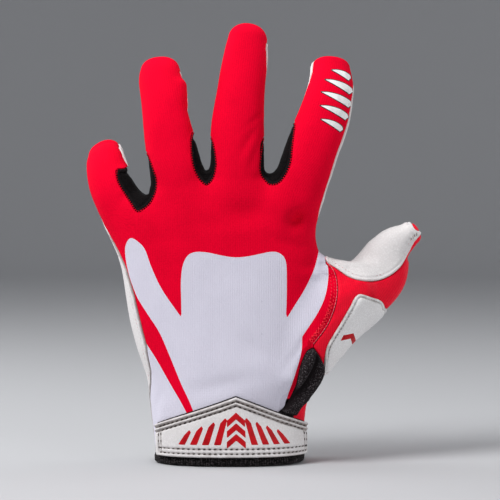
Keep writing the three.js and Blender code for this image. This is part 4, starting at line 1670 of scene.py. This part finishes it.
@dataclass
class ClosureTab:
    """The pointed leather tab that closes the cuff, on its black backing.

    Attributes:
        left: Where its left edge lies, and likewise the other edges, the shoulder and the peak.
        welt: The two rolls along its top edges, as (distance from the edge, height).
        dirt_and_shade: How dark the leather is behind the top edges, as (distance from the edge, seam value):
            the lower flank of each roll gets painted shade with some dirt.
        rim: The heights behind the lower edge, roll behind the side edges, and fray behind the backing's.
        base: How far the leather's inner face stands from the cloth.
        rise: How far the backing shows above the tab.
        top_rows: The distances of the rows of stitches from the top edges, and likewise for the other edges.
        row_foot: How far over the bottom the side rows begin, and row_head how far below the shoulder.
        bar_middles: Where the generic slanted bars pressed on it stand, each with its slant to the right.
        bar_heads: How high they reach, from the outer to the inner ones.
        wings: How high the middles of the plain chevrons between them lie.
        wing: A chevron's outline about its middle.
    """

    hand: Hand
    left: float = -35.0
    right: float = 36.5
    bottom: float = 4.3
    shoulder: float = 19.8
    peak: Pair = (3.2, 34.0)
    welt: Places = (
        (0.0, -0.9), (0.12, -0.3), (0.3, 0.25), (0.5, 0.5), (0.75, 0.48), (1.3, 0.1), (1.8, -0.32),
        (2.05, -0.45), (2.3, -0.15), (2.55, 0.3), (2.8, 0.38), (3.3, 0.1), (3.8, -0.32), (4.05, -0.45),
        (4.35, -0.2), (4.8, 0.0), (7.0, 0.1))
    dirt_and_shade: Places = (
        (0.0, 0.6), (0.3, 1.7), (0.7, 1.3), (0.95, 0.1), (2.0, -0.2), (2.3, 0.2), (2.55, 1.4), (2.85, 1.1),
        (3.1, 0.2), (4.05, 0.0), (4.6, 0.9), (5.5, 2.0))
    rim: Places = (
        (0.0, -0.9), (0.12, -0.4), (0.35, -0.12), (0.7, 0.05), (1.2, 0.1), (2.2, 0.1))
    roll: Places = (
        (0.0, -0.9), (0.12, -0.4), (0.35, 0.0), (0.8, 0.32), (1.3, 0.3), (1.8, 0.05), (2.3, -0.1),
        (3.0, 0.05))
    fray: Places = ((0, -0.5), (0.12, -0.2), (0.35, 0.0))
    base: float = 1.2
    leather: float = 1.5
    rise: float = 0.6
    thread: Thread = Thread(width=0.55, length=1.45, pitch=2.6, rise=0.05, lean=12)
    top_rows: tuple[float, ...] = (1.95, 4.05)
    bottom_rows: tuple[float, ...] = (1.9, 4.2)
    left_rows: tuple[float, ...] = (2.5, 4.1)
    right_rows: tuple[float, ...] = (1.2, 2.9)
    row_foot: float = 2.5
    row_head: float = 4.2
    bar_middles: Places = (
        (-21.5, 3), (-15.8, 3), (-10.1, 3), (-4.4, 3), (27.9, -3), (22.2, -3), (16.5, -3), (10.8, -3))
    bar_width: float = 3.4
    bar_foot: float = 10.6
    bar_heads: tuple[float, ...] = (18.0, 20.0, 22.0, 24.0)
    wings: tuple[float, ...] = (12.8, 18.0, 23.2)
    wing: Places = ((-4.6, -4.0), (0, 0), (4.6, -4.0), (4.6, -0.6), (0, 3.4), (-4.6, -0.6))

    def __post_init__(self) -> None:
        """Measures the curve of the wrist, along which the tab lies."""
        angles = np.linspace(-2.2, 2.2, 441)
        points = self._on_wrist(angles, np.full(len(angles), 16.0))
        self.angles, self.arcs = angles, lengths_along(points)
        self.arcs -= np.interp(0.0, angles, self.arcs)
        front = np.abs(angles) < 1.5
        places = (self.left, self.right, self.peak[0])
        *self.edges, top = np.interp(places, points[front, 0], self.arcs[front])
        self.top = (top, self.peak[1])

    def _on_wrist(self, angles: Array, heights: Array, start: float = 34.0, passes: int = 12) -> Array:
        """Finds the wrist's surface at angles round it, in passes that each come nearer to it."""
        out = np.stack([np.sin(angles), -np.cos(angles), np.zeros(len(angles))], axis=1)
        lift = heights[:, None] * np.array([[0.0, 0.0, 1.0]])
        reach = np.full(len(angles), start)
        for _ in range(passes):
            reach -= self.hand.form.distance(out * reach[:, None] + lift) * 0.9
        return out * reach[:, None] + lift

    def on_wrist(self, flat: Array, height: Array | float) -> tuple[Array, Array]:
        """Finds places over the wrist from places on the tab laid flat.

        Args:
            flat: Places as (distance round the wrist, height over the mouth).
            height: How far above the cloth.

        Returns:
            The points and the directions out of the wrist.
        """
        angles = np.interp(flat[:, 0], self.arcs, self.angles)
        points = self._on_wrist(angles, flat[:, 1])
        normals = self.hand.form.normal(points)
        lift = self.hand.relief(points, normals) + height
        return points + normals * lift[:, None], normals

    def flat(self, points: Array) -> Array:
        """Lays places on the wrist flat, as (distance round the wrist, height over the mouth)."""
        angles = np.arctan2(points[:, 0], -points[:, 1])
        return np.stack([np.interp(angles, self.angles, self.arcs), points[:, 2]], axis=1)

    def depths(self, flat: Array, rise: float = 0.0) -> tuple[Array, Array, Array]:
        """Measures how far places lie inside the top edges, the sides and the bottom edge.

        Args:
            flat: Places on the tab laid flat.
            rise: How far the edges are moved out at the top.

        Returns:
            The three distances.
        """
        (left, right), (peak, high) = self.edges, self.top
        tops = []
        for side in (left, right):
            run, drop = peak - side, high - self.shoulder
            tops.append(((high + rise - flat[:, 1]) * abs(run)
                         - np.sign(run) * (peak - flat[:, 0]) * drop) / math.hypot(run, drop))
        sides = np.minimum(flat[:, 0] - left, right - flat[:, 0]) + 0.6 * rise
        return np.minimum(*tops), sides, flat[:, 1] - self.bottom

    def _cut(self, name: str, rise: float, levels: Sequence[float]) -> Sheet:
        """Cuts the outline of the tab or its backing out of the wrist.

        Args:
            name: The piece's name.
            rise: How far it goes up above the tab.
            levels: How far behind its top edges it gets rows of points, in millimetres.

        Returns:
            The piece's sheet.
        """
        around = self.hand.sheet
        keep = (around.points[:, 2] < 40) & (around.points[:, 2] > 0) & (around.points[:, 1] < 8)
        near = around.kept(keep[around.triangles].all(1))
        near.finer()
        near.columns[name] = np.minimum.reduce(self.depths(self.flat(near.points), rise))
        piece = near.cut_out(name, 0.0).largest()
        piece.columns["top"] = self.depths(self.flat(piece.points), rise)[0]
        for level in levels:
            piece.split("top", level)
            piece.columns[name][:] = np.minimum.reduce(self.depths(self.flat(piece.points), rise))
        for level in (0.12, 0.35, 0.7):
            piece.split(name, level)
        piece.columns["out"] = unit(piece.columns["out"])
        return piece

    def backing(self) -> Piece:
        """Makes the black backing, whose ragged upper edge shows above the tab."""
        sheet = self._cut("tab_backing", self.rise, ())
        depth = sheet.columns["tab_backing"]
        ragged = 0.25 * Grain(1.0, 31).at(sheet.points)
        outer = 0.95 + profile(depth, self.fray) + ragged * (depth < 1.6)
        return cloth_piece("tab_backing", sheet, outer, 0.2, (BLACK_LOOP,), Slot.BLACK_LOOP, depth)

    def _bar(self, middle: float, slant: float, head: float) -> Array:
        """Draws one slanted bar, whose head is cut off towards the side that it leans to."""
        half, lean = self.bar_width / 2, slant / 2
        side = np.sign(slant)
        corners = [(-half * side - lean, self.bar_foot), (half * side - lean, self.bar_foot),
                   (half * 0.9 * side + lean, head - 1.2), (0.4 * side * half + lean, head),
                   (-half * side + lean, head - 2.6)]
        return np.array(corners) + (middle, 0)

    def mark_depth(self, flat: Array) -> Array:
        """Measures how deep places lie in the pressed marks."""
        depths = []
        for (middle, slant), head in zip(self.bar_middles, self.bar_heads * 2):
            bar = self._bar(middle + self.top[0] - self.peak[0], slant, head)
            depths.append(inside_distance(flat, bar))
        for height in self.wings:
            depths.append(inside_distance(flat, np.array(self.wing) + (self.top[0], height)))
        return np.maximum.reduce(depths)

    def rows(self) -> list[Array]:
        """Lists the rows of stitches as lines on the tab laid flat."""
        (left, right), (peak, high) = self.edges, self.top
        slopes = [(high - self.shoulder) / (peak - left), (high - self.shoulder) / (right - peak)]
        rows = []
        for depth, near, far in zip(self.top_rows, self.left_rows, self.right_rows):
            drops = [depth * math.hypot(1, slope) for slope in slopes]
            a, b = left + near, right - far
            ends = high - (peak - a) * slopes[0] - drops[0], high - (b - peak) * slopes[1] - drops[1]
            rows.append(np.array([(a, ends[0]), (peak, high - sum(drops) / 2), (b, ends[1])]))
        for height in self.bottom_rows:
            rows.append(np.array([(left + self.left_rows[0], self.bottom + height),
                                  (right - self.right_rows[0], self.bottom + height)]))
        for start, way, insets in ((left, 1, self.left_rows), (right, -1, self.right_rows)):
            for inset in insets:
                rows.append(np.array([(start + way * inset, self.bottom + self.row_foot),
                                      (start + way * inset, self.shoulder - self.row_head + inset * 0.3)]))
        return rows

    def sewn(self) -> tuple[Piece, Array]:
        """Sews the rows.

        Returns:
            The stitches, and the places of the holes between them on the tab laid flat.
        """
        solids, holes = [], []
        for row in self.rows():
            lengths = lengths_along(row)
            where = np.linspace(0, lengths[-1], max(8, int(lengths[-1] / 0.5)))
            sunk = 0.34 if len(row) == 3 else 0.16
            points, out = self.on_wrist(read_along(where, lengths, row), self.base + self.leather - sunk)
            solids.append(self.thread.sewn(points, out))
            count = max(2, int(lengths[-1] / self.thread.pitch))
            holes.append(read_along(np.arange(count + 1) * lengths[-1] / count, lengths, row))
        solid = Solid.joined(solids)
        return Piece("closure_tab_stitches", solid, (DARK_THREAD,), Slot.WHITE_LEATHER), np.vstack(holes)

    def tab(self, holes: Array) -> Piece:
        """Makes the leather tab with its rolls, its pressed marks and the pull of its stitches.

        Args:
            holes: The places of the needle holes on the tab laid flat.

        Returns:
            The tab.
        """
        sheet = self._cut("closure_tab", 0.0, [depth for depth, _ in self.welt[3:-1]])
        sheet.columns["mark"] = self.mark_depth(self.flat(sheet.points))
        for level in (0.0, 0.25):
            sheet.split("mark", level)
        flat = self.flat(sheet.points)
        top, sides, low = self.depths(flat)
        height = profile(top, self.welt) + np.minimum(profile(sides, self.roll), profile(low, self.rim)) - 0.1
        from_row = np.full(len(flat), FAR)
        for row in self.rows():
            for start, end in zip(row, row[1:]):
                edge = end - start
                share = np.clip((flat - start) @ edge / (edge @ edge), 0, 1)
                from_row = np.minimum(from_row, np.linalg.norm(flat - start - share[:, None] * edge, axis=1))
        from_hole = np.full(len(flat), FAR)
        for hole in holes:
            from_hole = np.minimum(from_hole, ((flat - hole) ** 2).sum(1))
        from_hole = np.sqrt(from_hole)
        height -= 0.32 * np.exp(-(from_row / 0.45) ** 2) + 0.35 * np.exp(-(from_hole / 0.45) ** 2)
        height += 0.16 * Grain(3.4, 32).at(sheet.points) * np.exp(-from_row / 2.5)
        height += 0.09 * Grain(1.2, 34).at(sheet.points) * np.exp(-from_row / 1.4)
        height += 0.1 * Grain(9, 33).at(sheet.points)
        height += 0.1 * smooth_step(sheet.columns["mark"], 0.0, 0.25)
        # Darker along the rows, at the holes, at the edges and on the lower flanks of the rolls: dirt with
        # painted shade.
        seam = np.minimum.reduce([from_row + 0.2, from_hole + 0.1, sheet.columns["closure_tab"] + 0.25,
                                  profile(top, self.dirt_and_shade)])
        return cloth_piece("closure_tab", sheet, self.base + self.leather + height, self.base,
                           (WHITE_LEATHER, RED_INK), Slot.WHITE_LEATHER, seam * 1.2, sheet.columns["mark"])

    def build(self) -> list[Piece]:
        """Makes the backing, the tab and its stitches."""
        stitches, holes = self.sewn()
        return [self.backing(), self.tab(holes), stitches]


@dataclass
class WristGusset:
    """The gusset of brushed loop in the slit of the wrist, which lies in two soft folds.

    Attributes:
        folds: Each fold's ridge as (x, z, half width, height).
        valley: The valley between them as (x, z, depth).
        highest: How far the folds may stand out.
        tab_edge: The tab's upper edge, as (x, z): under it the folds lie flat.
    """

    hand: Hand
    folds: tuple[Rows, ...] = (
        ((41.5, 56.0, 1.6, 2.0), (39.6, 50.5, 2.8, 3.0), (36.8, 43, 3.0, 3.1), (33.8, 36, 3.0, 3.0),
         (30.4, 30, 3.0, 2.6), (27, 24, 3, 2.2), (25.5, 10, 3, 1.6)),
        ((43.0, 55.0, 1.8, 2.0), (44.6, 49.5, 2.9, 2.7), (43.4, 43.5, 3.3, 2.8), (40.2, 37.5, 3.4, 2.8),
         (36.6, 32, 3.4, 2.8), (32.7, 26.5, 3.4, 2.6), (29.7, 18, 3.4, 2.2), (28.7, 10, 3, 1.8)),
    )
    valley: Rows = (
        (42.6, 54.5, 0.4), (42.4, 51.5, 1.6), (40.6, 47.2, 2.4), (38.3, 43, 2.6), (35.6, 39.2, 2.4),
        (32.2, 35.2, 1.9), (29.6, 31.6, 1.2), (27.2, 28.2, 0.5))
    edge: Edge = Edge(turn=((0.1, -0.5), (0.35, 0.1), (0.7, 0.45), (1.2, 0.6)), inner=-1.5)
    highest: float = 3.6
    tab_edge: Places = ((3.2, 35.6), (37.6, 21.4))

    def _height(self, points: Array) -> Array:
        """Measures how far the folds stand out of the wrist, and the valley between them."""
        height = np.zeros(len(points))
        for fold in self.folds:
            for x, z, half, rise in spline(np.array(fold), 10):
                away = np.hypot(points[:, 0] - x, points[:, 2] - z) / (half * 1.1)
                height = np.maximum(height, rise * np.maximum(1 - away**2, 0) ** 0.4)
        groove = np.zeros(len(points))
        for x, z, depth in spline(np.array(self.valley), 10):
            away = np.hypot(points[:, 0] - x, points[:, 2] - z)
            groove = np.maximum(groove, (height + depth * 0.35) * np.exp(-(away / 1.15) ** 2) * min(1, depth))
        return height - groove

    def build(self) -> list[Piece]:
        """Makes the gusset."""
        sheet = self.edge.cut(self.hand.sheet, "wrist_gusset", finer=1)
        points, depth = sheet.points, sheet.columns["wrist_gusset"]
        height = self._height(points) * smooth_step(depth, 0.1, 1.4)
        nap = 0.1 * Grain(0.9, 41).at(points) + 0.1 * Grain(3.4, 42).at(points)
        outer = self.edge.height(depth) + np.minimum(height, self.highest)
        outer += nap * smooth_step(depth, 0.15, 0.6)
        limit = np.where(points[:, 2] < profile(points[:, 0], self.tab_edge), 0.1, FAR)
        # The seam column is the smaller of the distance to the valley and the depth behind the edge plus 0.8:
        # it paints shade in the valley between the folds and along the edge.
        centre = spline(np.array(self.valley), 10)
        away = np.min([np.hypot(points[:, 0] - x, points[:, 2] - z) for x, z, _ in centre], axis=0)
        return [cloth_piece("wrist_gusset", sheet, np.minimum(outer, limit), self.edge.inner, (BLACK_LOOP,),
                            Slot.BLACK_LOOP, np.minimum(away, depth + 0.8))]


@dataclass
class ThumbPatch:
    """The leather patch on the thumb's outer side, sewn on with a pressed border.

    Attributes:
        places: Its outline, as (x, z), and corners which of its points are sharp.
        rear: The y where it ends behind, and mark_rear that of the plain mark on it.
        row: How far inside the edge its row of stitches lies.
        sewn_stretches: How many stretches of its outline have stitches, from its foot up and round.
    """

    hand: Hand
    places: Places = (
        (46.8, 51.2), (48.2, 58.7), (54.2, 68.8), (59.8, 78.4), (61.4, 81.7), (63.2, 83.7), (65.4, 84.0),
        (70, 82.4), (74.2, 80.9), (76.2, 79.2), (77, 77), (77.6, 73.5), (69, 51.5), (55, 39.3), (46, 44.3))
    corners: tuple[int, ...] = (0, 12, 13, 14)
    rear: float = 9.0
    edge: Edge = Edge(gap=0.0, turn=(
        (0.0, -0.6), (0.15, -0.2), (0.4, 0.0), (0.75, 0.05), (1.05, -0.2), (1.45, -0.34), (1.85, -0.2),
        (2.3, 0.12), (3.4, 0.35), (6.0, 0.5)), inner=0.2, outer=1.15)
    row: float = 1.4
    steps: int = 5
    sewn_stretches: int = 10
    thread: Thread = Thread(width=0.4, length=1.15, pitch=1.75, rise=0.03)
    mark: Places = ((60.4, 65.1), (62.1, 60.5), (60.5, 57.7), (58.9, 62.5), (53.9, 61.5), (55.5, 64.2))
    mark_rear: float = 6.0

    def build(self) -> list[Piece]:
        """Makes the patch, its mark and its stitches."""
        sheet = self.hand.sheet
        closed = outline(self.places, self.corners, steps=self.steps)
        depth = np.minimum(sheet.evened(inside_distance(sheet.points[:, [0, 2]], closed)),
                           sheet.evened(self.rear - sheet.points[:, 1]))
        sheet.columns["thumb_patch"] = np.minimum(depth, -sheet.columns["wrist_gusset"] - 0.2)
        piece = self.edge.cut(sheet, "thumb_patch", finer=1)
        piece.columns["mark"] = np.minimum(inside_distance(piece.points[:, [0, 2]], np.array(self.mark)),
                                           self.mark_rear - piece.points[:, 1])
        piece.split("mark", 0.0)
        depth = piece.columns["thumb_patch"]
        from_row = np.abs(depth - self.row)
        outer = self.edge.height(depth) + 0.12 * Grain(6, 51).at(piece.points)
        outer += 0.1 * Grain(2.2, 52).at(piece.points) * np.exp(-from_row / 1.2)
        # Darker near the row of stitches and the edge: dirt with painted shade.
        seam = np.minimum(from_row * 1.3, depth) + 0.35
        patch = cloth_piece("thumb_patch", piece, outer, self.edge.inner, (PATCH_LEATHER_LIGHTENED, RED_INK),
                            Slot.WHITE_LEATHER, seam, piece.columns["mark"])
        line = inset(closed, self.row)[1:self.steps * self.sewn_stretches]
        sewn = self.thread.sewn(*self.hand.on_front(line, self.edge.outer - 0.3))
        return [patch, Piece("thumb_patch_stitches", sewn, (GREY_THREAD,), Slot.WHITE_LEATHER)]


def inset(closed: Array, distance: float) -> Array:
    """Moves a closed outline's points inwards by a distance."""
    following = np.roll(closed, -1, axis=0)
    turned = (closed[:, 0] * following[:, 1] - following[:, 0] * closed[:, 1]).sum()
    return closed + left_of(following - np.roll(closed, 1, axis=0)) * distance * np.sign(turned)


@dataclass
class CuffHem:
    """The elastic tape that binds the mouth of the cuff.

    Attributes:
        wave: How far its upper edge waves along the cuff.
        fold: How far its inner face follows its edges.
    """

    hand: Hand
    edge: Edge = Edge(gap=0.0, turn=(
        (0.0, -1.1), (0.15, -0.6), (0.45, -0.2), (0.9, 0.0), (2.0, 0.12)), inner=-2.0, outer=0.75)
    wave: float = 0.22
    fold: float = 0.7

    def build(self) -> list[Piece]:
        """Makes the tape."""
        sheet = self.hand.sheet
        height = sheet.points[:, 2]
        wave = self.wave * Grain(9, 61).at(sheet.points * (1, 1, 0))
        sheet.columns["cuff_hem"] = np.minimum(height - 0.05, HEM - height + wave - 0.2)
        piece = self.edge.cut(sheet, "cuff_hem", finer=1)
        depth = piece.columns["cuff_hem"]
        outer = self.edge.height(depth) + 0.1 * Grain(0.9, 62).at(piece.points)
        outer += 0.18 * Grain(5, 63).at(piece.points)
        inner = self.edge.inner - profile(depth, self.edge.turn) * self.fold
        return [cloth_piece("cuff_hem", piece, outer, inner, (BLACK_TAPE,), Slot.BLACK_BINDING, depth)]


@dataclass
class Seams:
    """Rows of thread that show along the seams of the thumb and of the palm.

    Attributes:
        rows: How far from the thumb's seam the two rows beside it lie, and then the row that covers it.
        tip: The ends of the short row that gathers the leather at the thumb's tip.
        inset: How far inside the edges of the palm's leather its row lies.
        start: The height from which the two rows run down, and likewise for the stitches that cross them.
    """

    hand: Hand
    double: Thread = Thread(width=0.5, length=1.3, pitch=1.75, rise=0.14, lean=24)
    single: Thread = Thread(width=0.3, length=1.5, pitch=1.95, rise=0.05)
    highlight_line: Thread = Thread(width=0.3, length=1.75, pitch=1.7, rise=0.02)
    crossing: Thread = Thread(width=0.42, length=1.9, pitch=1.05, rise=0.12, lean=52, zigzag=True)
    tacking: Thread = Thread(width=0.5, length=1.7, pitch=1.25, rise=0.1, lean=62)
    rows: Triple = (-3.0, -1.5, -2.25)
    tip: Places = ((89.8, 109.8), (94.0, 113.4))
    inset: float = 2.4
    start: float = 96.0
    cover: float = 80.0

    def _row(self, name: str, line: Array, shift: float, thread: Thread, finish: Finish,
             height: float = -0.05, slot: Slot = Slot.RED_KNIT) -> Piece:
        """Sews a row beside a line seen from the back of the hand.

        Args:
            name: The piece's name.
            line: The line as (x, z).
            shift: How far to the left of the line's direction the row lies.
            thread: The thread.
            finish: The thread's finish.
            height: How far above the cloth it lies.
            slot: The slot of the cloth that it is sewn in.

        Returns:
            The stitches.
        """
        points, out = self.hand.on_front(line + left_of(np.gradient(line, axis=0)) * shift, height)
        return Piece(name, thread.sewn(points, out), (finish,), slot)

    def build(self) -> list[Piece]:
        """Sews all the rows."""
        thumb = spline(np.array(self.hand.thumb_seam[1:]), 12)
        low, lower = thumb[thumb[:, 1] < self.start], thumb[thumb[:, 1] < self.cover]
        inner, outer, cover = self.rows
        pieces = [
            self._row("thumb_seam_inner_stitches", low, inner, self.double, RED_THREAD),
            self._row("thumb_seam_outer_stitches", low, outer, self.double, RED_THREAD),
            self._row("thumb_seam_cover_stitches", lower, cover, self.crossing, RED_THREAD, 0.05),
            # A near-continuous row of pale thread along the thumb's seam: a painted highlight on the edge of
            # the fold.
            self._row("thumb_seam_painted_highlight", thumb, -0.3, self.highlight_line, HIGHLIGHT_THREAD, -0.12),
            self._row("thumb_tip_stitches", np.linspace(*self.tip, 12), 0.0, self.tacking, GREY_THREAD, 0.02,
                      Slot.WHITE_LEATHER),
        ]
        for name in ("palm_panel", "thumb_palm_panel"):
            line, out = self.hand.sheet.level_line(name, self.inset)
            pieces.append(Piece(f"{name}_stitches", self.single.sewn(line + 0.03 * out, out), (PALE_THREAD,),
                                Slot.WHITE_LEATHER))
        return pieces


# The picture


@dataclass
class Studio:
    """A pale floor and backdrop, soft lights, and the camera at the photograph's angle.

    Attributes:
        aim: What the camera and the lights face.
        width: How wide the picture is at the camera's distance.
        flat: The rings of points in the flat part of the floor.
        bend: The radius of the curve in which it rises, and walls the heights of the points above it.
    """

    aim: Triple = (10.0, 0.0, 105.5)
    distance: float = 1300.0
    elevation: float = 3.0
    width: float = 250.0
    sensor: float = 36.0
    floor: str = "B9BABD"
    flat: tuple[float, ...] = (1.0, 400.0, 800.0, 1200.0, 1500.0)
    bend: float = 700.0
    walls: tuple[float, ...] = (1500.0, 2600.0)
    around: int = 96
    drop: float = 0.4
    lights: tuple[tuple[str, Triple, float, float], ...] = (
        # name, place, size, watts
        ("key", (-660, -480, 1100), 620, 16.8), ("fill", (820, -860, 300), 800, 3.5),
        ("top", (60, 120, 900), 700, 2), ("left", (-850, 380, 350), 500, 3.0),
        ("right", (850, 380, 350), 500, 1.6),
    )

    def build(self) -> None:
        """Puts the floor, the lights and the camera in the scene."""
        self._backdrop()
        for name, place, size, watts in self.lights:
            self._light(name, place, size, watts)
        self._camera()
        world = bpy.data.worlds.new("studio")
        world.use_nodes = True
        background = world.node_tree.nodes["Background"]
        background.inputs["Color"].default_value = (0.92, 0.95, 1.0, 1)
        background.inputs["Strength"].default_value = 0.2
        bpy.context.scene.world = world
        bpy.context.scene.view_settings.view_transform = "Standard"

    def _backdrop(self) -> None:
        """Makes a round floor that curves up into a wall all round, so that each view has the same ground."""
        edge, bend, count = self.flat[-1], self.bend, self.around
        rise = [(radius, 0.0) for radius in self.flat]
        rise += [(edge + bend * math.sin(turn), bend - bend * math.cos(turn))
                 for turn in np.linspace(0.12, math.pi / 2, 14)]
        rise += [(edge + bend, height) for height in self.walls]
        points = [(r * math.cos(turn) * MM, r * math.sin(turn) * MM, (z - self.drop) * MM)
                  for r, z in rise for turn in np.linspace(0, 2 * math.pi, count + 1)[:-1]]
        faces = [(n + i, n + count + i, n + count + (i + 1) % count, n + (i + 1) % count)
                 for n in range(0, count * (len(rise) - 1), count) for i in range(count)]
        mesh = bpy.data.meshes.new("floor")
        mesh.from_pydata(points, [], faces)
        mesh.shade_smooth()
        made = bpy.data.objects.new("floor", mesh)
        paper = bpy.data.materials.new("matt_paper")
        paper.use_nodes = True
        shader = paper.node_tree.nodes["Principled BSDF"]
        shader.inputs["Base Color"].default_value = linear(self.floor)
        shader.inputs["Roughness"].default_value = 0.9
        mesh.materials.append(paper)
        bpy.context.scene.collection.objects.link(made)

    def _light(self, name: str, place: Triple, size: float, watts: float) -> None:
        """Hangs a soft light that faces the glove.

        Args:
            name: The light's name.
            place: Where it hangs, in millimetres.
            size: Its width in millimetres.
            watts: Its power.
        """
        light = bpy.data.lights.new(name, "AREA")
        light.energy = watts
        light.shape = "DISK"
        light.size = size * MM
        made = bpy.data.objects.new(name, light)
        made.location = Vector(place) * MM
        made.rotation_euler = (Vector(self.aim) - Vector(place)).to_track_quat("-Z", "Y").to_euler()
        bpy.context.scene.collection.objects.link(made)

    def _camera(self) -> None:
        """Stands the camera in front of the back of the hand."""
        camera = bpy.data.cameras.new("camera")
        camera.sensor_width = self.sensor
        camera.sensor_fit = "HORIZONTAL"
        camera.lens = self.sensor * self.distance / self.width
        camera.clip_end = 20
        made = bpy.data.objects.new("camera", camera)
        tilt = math.radians(self.elevation)
        back = Vector((0, -math.cos(tilt), math.sin(tilt))) * self.distance
        made.location = (Vector(self.aim) + back) * MM
        made.rotation_euler = (-back).to_track_quat("-Z", "Y").to_euler()
        bpy.context.scene.collection.objects.link(made)
        bpy.context.scene.camera = made


def main() -> None:
    """Builds the glove and its studio."""
    logging.basicConfig(level=logging.INFO, format="%(message)s")
    Studio().build()
    hand = Hand()
    panels = Panels(hand)
    gussets = [FingerGusset(hand, between) for between in hand.gussets]
    makers = [panels, IndexTransfer(panels), *gussets, ClosureTab(hand), WristGusset(hand), ThumbPatch(hand),
              CuffHem(hand), Seams(hand)]
    for maker in makers:
        for piece in maker.build():
            piece.place()
    bpy.context.view_layer.update()


if __name__ == "__main__":
    main()
